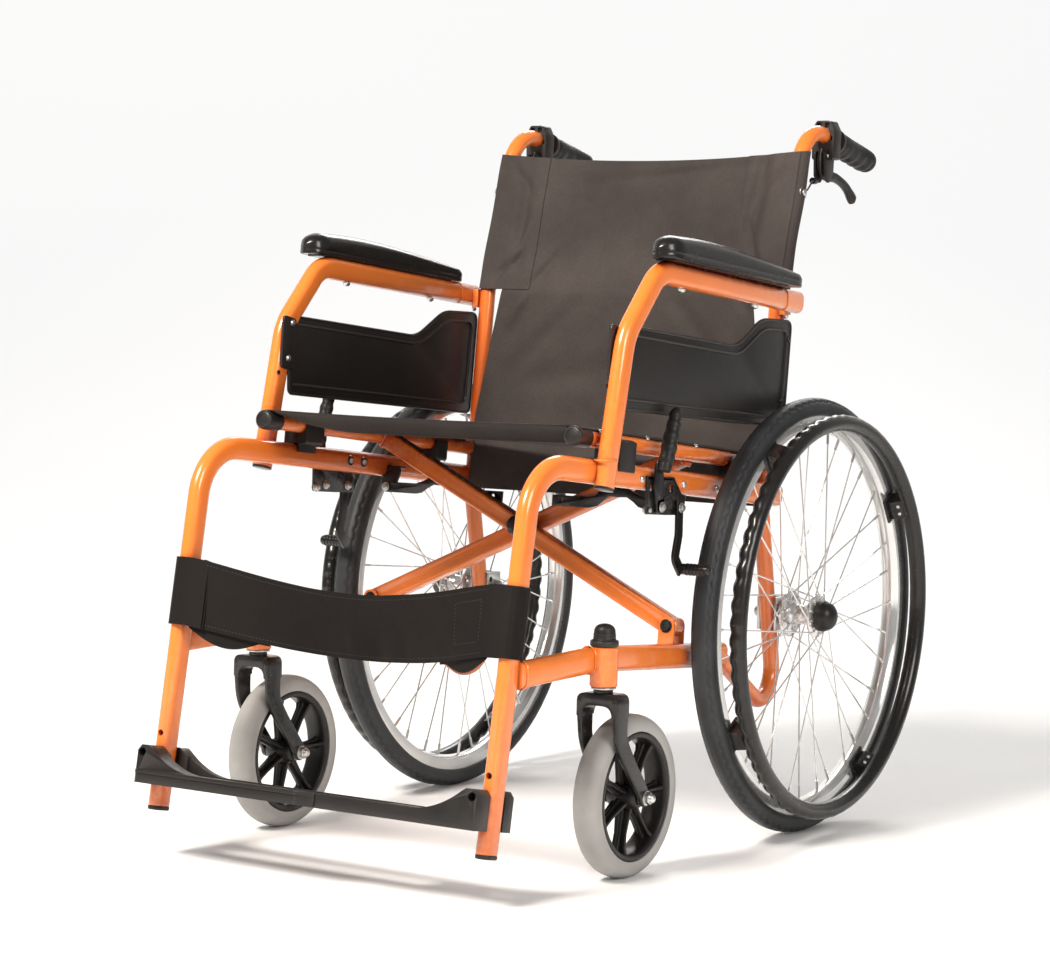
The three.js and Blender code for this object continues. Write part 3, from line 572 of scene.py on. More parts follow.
ORANGE = coated(
    "orange_powder_coat", "orange_paint",
    (0.87, 0.215, 0.030), (0.80, 0.185, 0.024), (0.2, 0.3), 9, 420, 0.05,
    # Rubbed-edge wear colour, then painted shade: the deep red the paint is given where it is sheltered, such
    # as under the seat.
    (0.92, 0.30, 0.07), (0.42, 0.055, 0.010),
    Coat_Weight=0.5, Coat_Roughness=0.08, Specular_IOR_Level=0.6,
)
BLACK_PLASTIC = grained(
    "moulded_black_plastic", "black_plastic",
    (0.013, 0.0112, 0.0105), (0.007, 0.006, 0.0055), (0.28, 0.46), 1.3, 0.08, 12, (0.035, 0.031, 0.029),
    Specular_IOR_Level=0.36,
)
SATIN_BLACK = coated(
    "satin_black_steel", "black_steel",
    (0.012, 0.0105, 0.010), (0.006, 0.0055, 0.005), (0.22, 0.36), 16, 700, 0.03, (0.045, 0.041, 0.038),
    Specular_IOR_Level=0.35, Coat_Weight=0.3, Coat_Roughness=0.12,
)
CHROME = coated(
    "bright_chrome", "chrome",
    (0.83, 0.83, 0.82), (0.70, 0.70, 0.69), (0.08, 0.22), 22, 300, 0.01,
    Metallic=0.72,
)
SILVER = coated(
    "zinc_plated_steel", "silver_steel",
    (0.74, 0.74, 0.72), (0.56, 0.56, 0.55), (0.2, 0.42), 30, 900, 0.02,
    Metallic=1.0,
)
GREY_TYRE = grained(
    "solid_grey_rubber", "grey_tyre",
    (0.385, 0.375, 0.36), (0.30, 0.292, 0.28), (0.6, 0.8), 0.8, 0.05, 18, (0.45, 0.44, 0.425),
    Specular_IOR_Level=0.3,
)
BLACK_TYRE = grained(
    "black_tyre_rubber", "black_tyre",
    (0.034, 0.036, 0.039), (0.018, 0.019, 0.020), (0.36, 0.58), 0.9, 0.06, 20, (0.06, 0.056, 0.052),
    Specular_IOR_Level=0.35,
)
GRIP = grained(
    "grip_rubber", "grip_rubber",
    (0.016, 0.014, 0.013), (0.009, 0.008, 0.0075), (0.36, 0.54), 1.0, 0.05, 14, (0.035, 0.031, 0.028),
    Specular_IOR_Level=0.35,
)
SKIN = grained(
    "armrest_integral_skin", "armrest_skin",
    (0.010, 0.0085, 0.008), (0.006, 0.005, 0.005), (0.2, 0.32), 1.6, 0.06, 9,
    Specular_IOR_Level=0.45, Coat_Weight=0.2, Coat_Roughness=0.2,
)
# Each cloth runs from its light to its dark colour in blotches that are partly painted shade of folds.
CLOTH = woven("woven_upholstery", (0.074, 0.061, 0.056), (0.036, 0.029, 0.027), 1.3, "X", "Z", 0.04)
SEAT_CLOTH = woven("woven_seat", (0.030, 0.024, 0.021), (0.013, 0.010, 0.009), 1.3, "X", "Y", 0.03)
WEBBING = woven("woven_calf_strap", (0.012, 0.009, 0.0075), (0.006, 0.0045, 0.004), 1.6, "X", "Z", 0.02)
THREAD = coated(
    "stitch_thread", "upholstery",
    (0.036, 0.030, 0.027), (0.022, 0.018, 0.016), (0.6, 0.8), 200, 2000, 0.05,
)


# ---------------------------------------------------------------- heights along the frame
def leg_y(z):
    return LEG["y"] + (z - LEG["z"]) * math.tan(LEG["lean"])


def rail_z(y):
    return RAIL["z"] - RAIL["fall"] * (y - RAIL["y"])


def seat_z(y):
    return SEAT["z"] - SEAT["fall"] * (y - SEAT["front"])


def arm_z(y):
    (_, y0, z0), (_, y1, z1) = ARM[2], ARM[3]
    return z0 + (z1 - z0) * (y - y0) / (y1 - y0)


def post_y(z):
    """Y of the back post's centre at a height, above the seat."""
    for (_, y0, z0), (_, y1, z1) in zip(POST[1:4], POST[2:5]):
        if z <= z1 or z1 == POST[4][2]:
            return y0 + (y1 - y0) * (z - z0) / (z1 - z0)


FOLD_TILT = math.atan(SEAT["fall"])
FOLD_Y = (PIVOT["front"] + PIVOT["rear"]) / 2


def tipped(shell):
    """Folding parts are drawn upright and tipped with the seat about the cross pivot."""
    return turned_about(shell, (0, FOLD_Y, PIVOT["cross"]), -FOLD_TILT)


def on_leg(shell):
    """From the leg's own axes, with Z up the leg from the footplate bolt, to the chair's."""
    place = Matrix.Translation((0, leg_y(FOOT["z"]), FOOT["z"])) @ Matrix.Rotation(-LEG["lean"], 4, "X")
    return moved(shell, place)


# ---------------------------------------------------------------- side frame
def weld(path_points, radius=1.7):
    """A bead of weld metal along a closed loop."""
    sizes = [(1 + 0.16 * math.sin(2.6 * i), 1 + 0.16 * math.sin(2.6 * i)) for i in range(len(path_points))]
    facing = UP if abs((path_points[1] - path_points[0]).normalized().z) < 0.9 else ACROSS
    return sweep(path_points, circle(radius, 6), facing, True, sizes)


def loop(outline, origin, right, up):
    return [origin + right * a + up * b for a, b in outline]


def front_tube():
    """The front leg and the upper rail in one bent tube, with two holes in the leg."""
    slope = math.tan(LEG["lean"])
    start = LEG["z"] + 5.4
    reach = RAIL["z"] + RAIL["fall"] * RAIL["y"] - LEG["z"]
    corner_y = (LEG["y"] + reach * slope) / (1 + slope * RAIL["fall"])
    x = LEG["x"]
    foot, corner = (x, leg_y(start), start), (x, corner_y, rail_z(corner_y))
    rear = (x, RAIL["end"], rail_z(RAIL["end"]))
    tube = sweep(bent([foot, corner, rear], [LEG["bend"]], 4), oval(*OVAL))
    holes = [on_leg(rod("y", 4, -40, 40, (x, 0, height), 20)) for height in (0, 25)]
    return carved(tube, *holes)


def lug_shells(plane):
    """Two rounded plates under the lower rail that hold the brace's pin."""
    offset = 10 + 0.8 + 1.5
    outline = filleted([(228, 262, 2), (251, 262, 2), (250, 303.5, 11), (228, 303.5, 11)])
    plates = [prism(outline, "y", plane + s * offset - 1.5, plane + s * offset + 1.5) for s in (-1, 1)]
    pin = rod("y", 4.5, plane - offset - 3, plane + offset + 3, (PIVOT["x"], 0, PIVOT["z"]))
    return [tipped(s) for s in plates + [pin]]


def side_tubes(side):
    """The welded side frame, with its weld beads."""
    rail = [(252, -655, 267), (252, -484, 271), (252, -178, 250)]
    lower = sweep(bent(rail, [120], 4), oval(20, 32))
    post = sweep(bent(POST, POST_BENDS, 5), circle(TUBE, 32), UP.lerp(ACROSS, 0.999))
    arm = sweep(bent(ARM[:3] + [(260, ARM_END, arm_z(ARM_END))], ARM_BENDS, 5), oval(*OVAL))
    housing = [(239, 6.6), (239, 15.5), (240.5, 17), (286, 17), (287.5, 15.5), (287.5, 6.6)]
    shells = [front_tube(), lower, post, arm]
    shells.append(lathe(housing, "z", (CASTER["x"], CASTER["y"], 0), 40))
    shells += lug_shells(BRACE_PLANE[side])
    shells.append(block((10, 16, 26), (247, ARM_END - 9, 702), 2))
    beads = [
        weld(loop(oval(21, 33, 8), point(252, leg_y(267) + 15.5, 267), ACROSS, UP)),
        weld(loop(oval(21, 31, 8), point(260, -486.5, rail_z(-486) + 15), ACROSS, REARWARD), 1.5),
        weld(loop(oval(21, 33, 8), point(252, CASTER["y"] - 16.5, 271), ACROSS, UP), 1.5),
        weld(loop(oval(21, 33, 8), point(252, CASTER["y"] + 16.5, 271), ACROSS, UP), 1.5),
        weld(loop(circle(11.6, 20), point(233, -36.6, 462), ACROSS, REARWARD), 1.5),
        weld(loop(oval(20.6, 30.6, 8), point(260, -57, arm_z(-57)), ACROSS, UP), 0.5),
    ]
    side_piece(side, "side_tubes", shells + beads, ORANGE, "side", "side_frame", 0.9, 2, 50, 40)


def side_plastics(side):
    """The black parts of one side frame: the clip that the stay hangs from, and the arm tube's lower plug."""
    clip = -SIDES[side]
    y = STAY_PLANE[side] + clip * (STAY["thickness"] / 2 + 2.3)
    hanger = filleted([(222, 436, 8), (241, 438, 4), (243, 472, 2), (213, 474, 3), (213, 462, 4)])
    shells = [tipped(prism(hanger, "y", y - 1.5, y + 1.5))]
    shells.append(tipped(block((28, 14, 3), (228, y + clip * 6, 471.5), 1)))
    foot, above = point(*ARM[0]), point(*ARM[1])
    down = (foot - above).normalized()
    shells.append(sweep([foot + down * 3.5, foot - down * 8], oval(OVAL[0] - 1, OVAL[1] - 1), ACROSS))
    side_piece(side, "stay_clip", shells, SATIN_BLACK, "side", "", 0.5)


def side_fasteners(side):
    """Screws, rivets and bolt heads that stay with one side frame, and a dark rod of painted shade inside a
    leg hole.
    """
    silver = screw((259, -316, arm_z(-316) - 15), (0, -0.09, -1), 5.2, 5)
    silver += screw((257.3, -124, arm_z(-124) - 15), (0, -0.09, -1), 5.2, 5)
    silver += screw((250, -25, 688), (0.3, 0, -1), 3.6, 4)
    for y in (-392, -290, -205):
        silver += screw((LEG["x"] + 10, y, rail_z(y) - 2), (1, 0, 0), 4.6, 3)
    cable_z = 853
    cable_y = post_y(cable_z) + 1
    silver += screw((245.2, cable_y, cable_z), (1, -0.15, 0), 5.6, 4)
    silver.append(washer("x", -1, 0.6, 4, 9, (245.4, cable_y, cable_z), 28))
    for y in (-470, -360, -240, -120):
        silver += screw((SEAT["x"] + 8, y, seat_z(y) + 9.5), (0.62, 0, 0.8), 3.2, 2.2)
    for y in RAIL_BOLTS:
        silver += bolt((236, y, rail_z(y) + 1), (-1, 0, 0), 3.6, 4)
    side_piece(side, "frame_screws", silver, SILVER, "side", "", 0)
    black = []
    for end in (-1, 1):
        pin_end = point(PIVOT["x"], BRACE_PLANE[side] + end * 13.8, PIVOT["z"])
        black += bolt(tipped(([pin_end], []))[0][0], (0, end, -end * SEAT["fall"]), 6.5, 5)
    black += screw((246, -478, 276), (1, 0, 0), 4, 3)
    # Painted shade: a dark rod inside the tube, seen through the leg's upper hole so that the hole reads
    # dark; it stands for no part.
    black.append(on_leg(rod("y", 3.9, -8, 8, (LEG["x"], 0, 25), 16, 0.01)))
    black.append(washer("x", 249.4, 250.4, 0, 2.8, (0, -470, 599), 20))
    for y in RAIL_BOLTS:
        black.append(lathe([(234.2, 0), (234.2, 6.4), (236, 7.2), (236, 0)], "x", (0, y, rail_z(y) + 1), 28))
    for y, z in ((-23, 657), (-41, 575)):
        black += screw((254.4, y, z), (1, 0, 0), 3.6, 2.4)
    side_piece(side, "frame_bolts_and_hole_shade", black, SATIN_BLACK, "side", "", 0)


def leg_plug(side):
    """The black tip under a front leg."""
    z0, z1 = LEG["z"], LEG["z"] + 5
    path = [point(LEG["x"], leg_y(z), z) for z in (z0, z0 + 1.2, z1)]
    shell = sweep(path, oval(*OVAL), ACROSS, False, [(0.9, 0.93), (1.02, 1.01), (1.02, 1.01)])
    inside = sweep([point(LEG["x"], leg_y(z), z) for z in (z1 - 1, z1 + 12)], oval(16, 26))
    side_piece(side, "leg_end_plug", [shell, inside], BLACK_PLASTIC, "side", "leg_plug", 0.4)


def caster_cap(side):
    """The stepped rubber cap on a caster housing: a flange, a waist with two ribs and a dome."""
    place, top, dome = (CASTER["x"], CASTER["y"], 287.9), 27.2, 7.2
    profile = [(0, 0), (0, 16.4), (1, 17.4), (6, 17.4), (7.2, 16)]
    profile += [(7.6, 14.4), (9, 13.6), (18, 13), (20, 12.6)]
    profile += [(top - dome * (1 - math.sin(a)), 12.2 * math.cos(a)) for a in (0.35, 0.65, 0.95, 1.25)]
    rings = [washer("z", z, z + 1, 12.4, 13.9, place, 40) for z in (10.5, 13.5)]
    shell = lathe(profile + [(top, 0)], "z", place, 40)
    side_piece(side, "housing_cap", [shell] + rings, GRIP, "side", "caster_cap", 0, smooth=50)


# ---------------------------------------------------------------- armrest
def armrest_pad(side):
    """A moulded pad: crowned top, upright rim with a parting line, round nose and square rear."""
    front, rear, half = -394.5, -54.5, 20
    height, crown, steps, around = 12.0, 21.0, 40, 14
    tilt = math.atan2(ARM[3][2] - ARM[2][2], ARM[3][1] - ARM[2][1])
    points = []
    for i in range(steps + 1):
        t = i / steps
        y = front + (rear - front) * (t * t * (3 - 2 * t) * 0.25 + t * 0.75)
        from_nose, from_tail = y - front, rear - y
        nose = math.sqrt(max(0.0, 1 - (1 - min(from_nose / 30, 1)) ** 2))
        tail = math.sqrt(max(0.0, 1 - (1 - min(from_tail / 7, 1)) ** 2))
        wide = max(half * nose, 0.4) * (0.9 + 0.1 * tail)
        swell = math.sin(math.pi * min(1.0, (0.12 + from_nose / (rear - front) * 0.88)) ** 0.8)
        rise = crown * (0.35 + 0.65 * swell) * min(1, nose * 1.05) * (0.35 + 0.65 * tail)
        groove = wide * 0.985
        wall = [(wide * 0.93, 0), (wide, 1.2), (wide, 5.4), (groove, 5.8), (groove, 6.4), (wide, 6.8)]
        wall.append((wide, height - 1.5))
        profile = [(-a, b) for a, b in wall]
        for j in range(around + 1):
            a = math.pi * (1 - j / around)
            lift = max(math.sin(a), 0.0) ** 0.62
            profile.append((groove * math.cos(a) * (1 - 0.05 * lift), height + rise * lift))
        profile += reversed(wall)
        points += [point(270.5 + a, y, b) for a, b in profile]
    faces = capped(steps + 1, len(profile))
    middle = (front + rear) / 2
    seat = [point(p.x, p.y - middle, p.z) for p in points]
    place = Matrix.Translation((0, middle, arm_z(middle) + 15.4)) @ Matrix.Rotation(tilt, 4, "X")
    pad = moved((seat, faces), place)
    foot = moved(block((30, 300, 2.4), (268, 0, -0.4), 6), place)
    side_piece(side, "armrest", [pad, foot], SKIN, "side", "armrest_pad", 0, smooth=38)


def inset(outline, amount):
    """A closed outline moved inwards, for an outline that runs clockwise."""
    moved_in = []
    for i, here in enumerate(outline):
        before, after = Vector(outline[i - 1]), Vector(outline[(i + 1) % len(outline)])
        along = (after - before).normalized()
        moved_in.append((here[0] + along.y * amount, here[1] - along.x * amount))
    return moved_in


GUARD = [
    (-449, 673.5, 7), (-162, 648, 62), (-97, 683.5, 62), (-14, 681.5, 13), (-29, 538.5, 11), (-446, 570.5, 9)
]
GUARD_BORDER = [
    (-438, 583, 0), (-42, 552.5, 12), (-28, 668.5, 12), (-92, 670.5, 55), (-158, 636, 70), (-436, 661.5, 0)
]


def skirt_guard(side):
    """A formed panel with a rolled edge, a raised border on both faces and a strap at its nose."""
    outline = filleted(GUARD, 8)
    panel = prism(outline, "x", 251.3, 254.1)
    rim = sweep([point(252.7, a, b) for a, b in inset(outline, 1.2)], circle(2.3, 10), ACROSS, True)
    shells = [panel, rim]
    for x in (251.3, 254.1):
        course = [point(x, a, b) for a, b in filleted(GUARD_BORDER, 8)]
        shells.append(sweep(course, circle(2.1, 8), ACROSS))
        shells += [ball(course[0], (1.8, 2.2, 2.2), 8), ball(course[-1], (1.8, 2.2, 2.2), 8)]
    strap = filleted([(-468, 606, 6), (-441, 601, 5), (-438, 668, 5), (-464, 674, 6)])
    shells.append(prism(strap, "x", 247.2, 250.6))
    side_piece(side, "guard_panel", shells, BLACK_PLASTIC, "side", "skirt_guard", 0.5, 2, 50)
    heads = []
    for y, z in ((-454, 617), (-446, 663)):
        heads += screw((247.2, y, z), (-1, 0, 0), 4.4, 2.4)
        heads += screw((250.8, y, z), (1, 0, 0), 3.4, 2.0)
    side_piece(side, "guard_screws", heads, SILVER, "side", "", 0)


# ---------------------------------------------------------------- push handle and attendant brake
def handle_slope():
    (_, y0, z0), (_, y1, z1) = POST[4], POST[5]
    return math.atan2(z1 - z0, y1 - y0), y0, z0


def push_grip(side):
    """A rubber grip with a flange, a ribbed underside for the fingers and a rounded end."""
    slope, y0, z0 = handle_slope()
    start, length, sides, steps = 131 - y0, 110, 32, 66
    points = []
    for i in range(steps + 1):
        d = length * i / steps
        taper = 18 if d < 7 else 16.4 - 0.9 * d / length
        radius = taper - 1.6 * math.exp(-(((d - 9) / 3) ** 2))
        if d > length - 8:
            radius -= 7 * (1 - math.sqrt(max(0.0, 1 - ((d - length + 8) / 8) ** 2)))
        for j in range(sides):
            a = math.tau * j / sides
            under = max(0.0, -math.sin(a)) ** 0.6
            rib = 1.5 * under * math.cos(math.tau * (d - 26) / 21) if 20 < d < 100 else 0
            ring = 0.35 * math.cos(math.tau * d / 3.4) if 14 < d < 100 and under < 0.2 else 0
            r = radius + rib + ring
            points.append(point(233 + r * math.cos(a), start + d, r * math.sin(a)))
    place = Matrix.Translation((0, y0, z0)) @ Matrix.Rotation(slope, 4, "X")
    grip = moved((points, capped(steps + 1, sides)), place)
    side_piece(side, "hand_grip", [grip], GRIP, "side", "push_grip", 0, smooth=50)


def lever_bracket(side):
    """The moulded clamp behind the bend, with pockets in its face and cheeks for the lever."""
    shape = [(217, 901, 4), (249, 901, 4), (250, 940, 13), (243, 954, 5), (223, 954, 5), (216, 940, 13)]
    clamp = prism(filleted(shape), "y", -10, 12)
    pockets = [block((7, 7, 9), (233 + dx, -9, z), 1.2) for z in (908, 947) for dx in (-6, 6)]
    pockets += [block((5, 7, 5), (x, -9, 930), 1) for x in (221, 245)]
    clamp = moved(carved(clamp, *pockets), Matrix.Translation((0, 108, 0)))
    cheeks = []
    outline = filleted([(88, 912, 4), (118, 912, 4), (116, 882, 6), (104, 868, 6), (90, 878, 6)])
    for x in (226.2, 239.8):
        cheeks.append(prism(outline, "x", x - 1.6, x + 1.6))
    stop = lathe([(0, 0), (0, 4.6), (10, 4.2), (12, 3), (12, 0)], "y", (233, 71, 871), 20)
    shells = [clamp, *cheeks, stop]
    side_piece(side, "lever_clamp", shells, BLACK_PLASTIC, "side", "lever_bracket", 0.8, 2, 40)
    heads = screw((233, 97.5, 929), (0, -1, 0), 4, 2.2)
    heads.append(rod("x", 2.6, 223.6, 242.4, (0, 99, 906), 16))
    side_piece(side, "lever_pin", heads, SILVER, "side", "", 0)
    wire = smooth_path([(234, 74, 873), (239, 56, 866), (244, 38, 858), (247, post_y(853) + 2, 854)], 24)
    cable = sweep(wire, circle(1.3, 8))
    side_piece(side, "brake_cable", [cable], GRIP, "side", "", 0)


def attendant_lever(side):
    """The squeeze lever: a boss at its pin, an arm under the grip and a bulb at its tip."""
    course = [(99, 914), (96, 896), (106, 881), (138, 878), (168, 868), (191, 851)]
    stations = smooth_path([(POST[4][0], y, z) for y, z in course], 40)
    sizes = []
    for i in range(len(stations)):
        t = i / (len(stations) - 1)
        tall = 10 - 3.6 * min(1, t * 1.5) + (2.4 * math.exp(-(((t - 0.97) / 0.07) ** 2)))
        sizes.append((4.6 + 1.4 * t, tall))
    blade = sweep(stations, circle(1, 16), ACROSS, False, sizes)
    tip = ball((233, 190, 851), (5.4, 7, 6.4))
    boss = rod("x", 8, 228.8, 237.2, (0, 99, 906), 24, 1)
    shells = [blade, tip, boss]
    side_piece(side, "squeeze_lever", shells, BLACK_PLASTIC, "lever", "attendant_lever", 0, smooth=50)


# ---------------------------------------------------------------- rear wheel
def tyre(side):
    """A solid tyre with a scalloped shoulder and a raised line along each wall."""
    around, across = 600, 30
    x0, z0, radius = WHEEL["x"], WHEEL["z"], WHEEL["radius"]
    core = radius - WHEEL["half"]
    profile = []
    for i in range(across + 1):
        a = -0.32 + (math.pi + 0.64) * i / across
        profile.append((-WHEEL["half"] * math.cos(a), core + WHEEL["half"] * math.sin(a), a))
    lip = RIM["half"] - 2.6
    profile += [(lip, RIM["outer"] - 4, None), (-lip, RIM["outer"] - 4, None)]
    points = []
    for k in range(around):
        turn = math.tau * k / around
        for x, r, a in profile:
            if a is not None:
                crown = abs(a - math.pi / 2)
                ripple = 0.09 * math.sin(100 * turn + (1.2 if a > math.pi / 2 else 0))
                wave = 2.6 * math.exp(-(((crown - 0.74 - ripple) / 0.075) ** 2))
                groove = 0.9 * math.exp(-(((crown - 0.33) / 0.05) ** 2))
                groove += 0.5 * math.exp(-((crown / 0.05) ** 2))
                line = 0.7 * math.exp(-(((crown - 1.32) / 0.04) ** 2))
                r = r - (wave + groove - line) * math.sin(a)
                x = x + (wave + groove - line) * math.cos(a)
            points.append(point(x0 + x, r * math.cos(turn), z0 + r * math.sin(turn)))
    faces = ring_faces(around, len(profile), True)
    side_piece(side, "wheel_tyre", [(points, faces)], BLACK_TYRE, "wheel", "tyre", 0, smooth=60)


def wheel_rim(side):
    """The plated rim with its tyre bed and the valve stem."""
    wide, wall = RIM["half"], 2.0
    inner, outer = RIM["inner"], RIM["outer"]
    profile = [(0, inner), (-4, inner + 0.4), (-8.5, inner + 2.6), (-wide, inner + 6), (-wide, outer - 1)]
    profile += [(-wide + 0.6, outer), (-wide + wall, outer - 0.4), (-wide + wall, RIM["bed"])]
    profile += [(-x, r) for x, r in reversed(profile[1:])] + [profile[0]]
    centre = (WHEEL["x"], 0, WHEEL["z"])
    hoop = lathe(profile, "x", centre, 192)
    stem = Vector((0, math.cos(1.95), math.sin(1.95)))
    root = Vector(centre) + stem * (inner + 1)
    valve = between(root, root - stem * 16, 2.6, 12)
    side_piece(side, "wheel_rim", [hoop, valve], CHROME, "wheel", "rim", 0, smooth=40)


def hub_and_spokes(side):
    """A flanged hub with holes round its flanges, and crossed spokes with nipples at the rim."""
    centre = Vector((WHEEL["x"], 0, WHEEL["z"]))
    inner, outer, flange, barrel = HUB["inner"], HUB["outer"], HUB["flange"], HUB["barrel"]
    body = [(inner - 5, 6.5), (inner - 5, 17), (inner - 2, 18), (inner - 2, 12), (inner + 7, barrel + 3)]
    body += [(inner + 11, barrel), (outer - 10, barrel), (outer - 6, barrel + 3), (outer, 16)]
    body += [(outer + 4, 15), (outer + 4, 6.5)]
    shells = [lathe(body, "x", centre, 40)]
    for x, radius in ((inner, flange), (outer, flange - 2)):
        half = [(x - 1.6, 10), (x - 1.6, radius - 1), (x - 0.8, radius)]
        other = [(x + 0.8, radius), (x + 1.6, radius - 1), (x + 1.6, 10)]
        spots = [centre + Vector((0, b, c)) for b, c in circle(20.5, 9)]
        holes = [bore("x", 3.1, x - 4, x + 4, spot, 14) for spot in spots]
        shells.append(carved(lathe(half + other, "x", centre, 60), *holes))
    count = HUB["spokes"]
    for i in range(count):
        rim_angle = math.tau * i / count
        x = inner if i % 2 else outer
        lean = 1.05 if (i // 2) % 2 else -1.05
        hole = (flange if i % 2 else flange - 2) - 4
        hub_angle = rim_angle + lean
        head = x + math.copysign(1.9, lean)
        start = centre + Vector((head, hole * math.cos(hub_angle), hole * math.sin(hub_angle)))
        out = Vector((0, math.cos(rim_angle), math.sin(rim_angle)))
        end = centre + Vector((x * 0.12, 0, 0)) + out * (RIM["inner"] + 2)
        along = (end - start).normalized()
        shells.append(between(start, end, 1.05, 7))
        shells.append(between(end - along * 17, end, 1.9, 8))
        shells.append(ball(start, (2.4, 2.2, 2.2), 10))
    side_piece(side, "wheel_hub", shells, CHROME, "wheel", "hub_and_spokes", 0, smooth=40)


def hub_cap(side):
    """The domed cap over the hub."""
    base = HUB["outer"] + 4.2
    profile = [(base, 0), (base, 19.6), (base + 1, 20.5), (base + 7, 20.5)]
    profile += [(base + 8.4, 20.1), (base + 9, 19.4)]
    profile += [(base + 9 + 15 * math.sin(a), 19.2 * math.cos(a)) for a in (0.25, 0.5, 0.75, 1.0, 1.25, 1.45)]
    profile.append((base + 24, 0))
    cap = lathe(profile, "x", (WHEEL["x"], 0, WHEEL["z"]), 48)
    side_piece(side, "wheel_cap", [cap], BLACK_PLASTIC, "wheel", "hub_cap", 0, smooth=40)


def hand_rim(side):
    """A coated hoop with finger scallops on its inner face, carried on four brackets."""
    around, across = 432, 20
    centre = Vector((WHEEL["x"], 0, WHEEL["z"]))
    points = []
    for k in range(around):
        turn = math.tau * k / around
        out = Vector((0, math.cos(turn), math.sin(turn)))
        for j in range(across):
            a = math.tau * j / across
            facing = max(0.0, math.cos(a - 2.3)) ** 1.3
            tube = HAND_RIM["tube"] + 0.3 - 2.4 * facing * ((1 + math.cos(72 * turn)) / 2) ** 1.6
            along, away = HAND_RIM["x"] + tube * math.cos(a), HAND_RIM["radius"] + tube * math.sin(a)
            points.append(centre + ACROSS * along + out * away)
    shells = [(points, ring_faces(around, across, True))]
    heads = []
    for i in range(4):
        angle = HAND_RIM["first"] + math.tau * i / 4
        outline = [(12.9, 244, 2), (24, 243, 4), (41, 249, 5), (41, 262, 5), (24, 266, 5), (12.9, 268, 2)]
        arm = prism(filleted(outline), "y", -14, 14)
        rib = prism(filleted([(12.9, 238, 1), (17, 238, 1), (17, 270, 1), (12.9, 270, 1)]), "y", -17, 17)
        spin = Matrix.Translation(centre) @ Matrix.Rotation(angle - math.pi / 2, 4, "X")
        shells += [moved(arm, spin), moved(rib, spin)]
        for along in (-6, 6):
            heads += [moved(s, spin) for s in screw((30, along, 247), (0, 0, -1), 3.2, 2.4)]
    side_piece(side, "push_rim", shells, SATIN_BLACK, "wheel", "hand_rim", 0, smooth=50)
    side_piece(side, "push_rim_screws", heads, SILVER, "wheel", "", 0)


def axle(side):
    """The axle with its cone, washer and domed nut, and the channel that holds it on the frame."""
    z = WHEEL["z"]
    cone = [(244.6, 6), (244.6, 13), (247, 14.5), (251.5, 13), (254, 9.5), (254, 6)]
    shells = [rod("x", 6, 205, 299, (0, 0, z), 28, 1), lathe(cone, "x", (0, 0, z), 32)]
    shells.append(washer("x", 219.6, 217.8, 6, 11, (0, 0, z)))
    shells += acorn((217.8, 0, z), (-1, 0, 0), 9)
    side_piece(side, "wheel_axle", shells, SILVER, "side", "axle", 0.3)
    section = filleted([(-14.6, -23, 1), (-14.6, 12.5, 4), (14.6, 12.5, 4), (14.6, -23, 1), (11.6, -23, 1)])
    section += filleted([(11.6, 9.4, 2), (-11.6, 9.4, 2), (-11.6, -23, 1)])
    channel = prism([(233 + a, b) for a, b in section], "z", z - 22, z + 22)
    holes = [bore("x", 6.3, 200, 260, (0, 0, z)), bore("x", 4.2, 200, 260, (0, -14, z + 12), 16)]
    side_piece(side, "axle_channel", [carved(channel, *holes)], SILVER, "side", "axle_bracket", 0.5)


def rear_wheel(side):
    """Everything on one rear wheel and its axle."""
    tyre(side)
    wheel_rim(side)
    hub_and_spokes(side)
    hub_cap(side)
    hand_rim(side)
    axle(side)


# ---------------------------------------------------------------- caster
def caster_fork(side):
    """A glossy fork: square crown with curved shoulders running into two trailing blades."""
    cx, cy, trail = CASTER["x"], CASTER["y"], CASTER["trail"]
    shells = []
    crown = filleted([(-28.6, 203, 1), (28.6, 203, 1), (28.6, 231.5, 11), (-28.6, 231.5, 11)], 8)
    arch = filleted([(-21, 190, 0), (21, 190, 0), (20.5, 217, 17), (-20.5, 217, 17)], 8)
    plate = carved(prism(crown, "y", -14.6, 14.6), prism(arch, "y", -20, 20))
    shells.append(moved(plate, Matrix.Translation((cx, cy, 0))))
    for x in (-26, 26):
        top = math.copysign(24.9, x)
        corners = [(top, 0, 224), (top, 0, 198), (top, 4, 172)]
        corners += [(x, 24, 142), (x, trail - 6, 110), (x, trail, 100)]
        path = smooth_path([(cx + a, cy + b, c) for a, b, c in corners], 26)
        sizes = []
        for i in range(len(path)):
            t = i / (len(path) - 1)
            sizes.append((1.05 - 0.12 * t, 1.42 - 0.5 * math.sin(math.pi * min(1, t * 1.15) / 2)))
        section = filleted([(-3.6, -11, 2.8), (3.6, -11, 2.8), (3.6, 11, 2.8), (-3.6, 11, 2.8)], 4)
        shells.append(sweep(path, section, ACROSS, False, sizes))
        eye = [(x - 3.6, 4.5), (x - 3.6, 9.6), (x - 2.6, 10.8)]
        eye += [(x + 2.6, 10.8), (x + 3.6, 9.6), (x + 3.6, 4.5)]
        shells.append(lathe(eye, "x", (cx, cy + trail, 100), 36))
    shells.append(rod("z", 6, 229, 284, (cx, cy, 0), 24))
    shells.append(washer("z", 231, 236.4, 6, 12, (cx, cy, 0)))
    side_piece(side, "fork", shells, SATIN_BLACK, "fork", "caster_fork", 0.8, 2, 45, 40)
    seat = washer("z", 236.6, 238.4, 6, 15.5, (cx, cy, 0), 40)
    side_piece(side, "fork_washers", [seat], SILVER, "fork", "", 0.25)


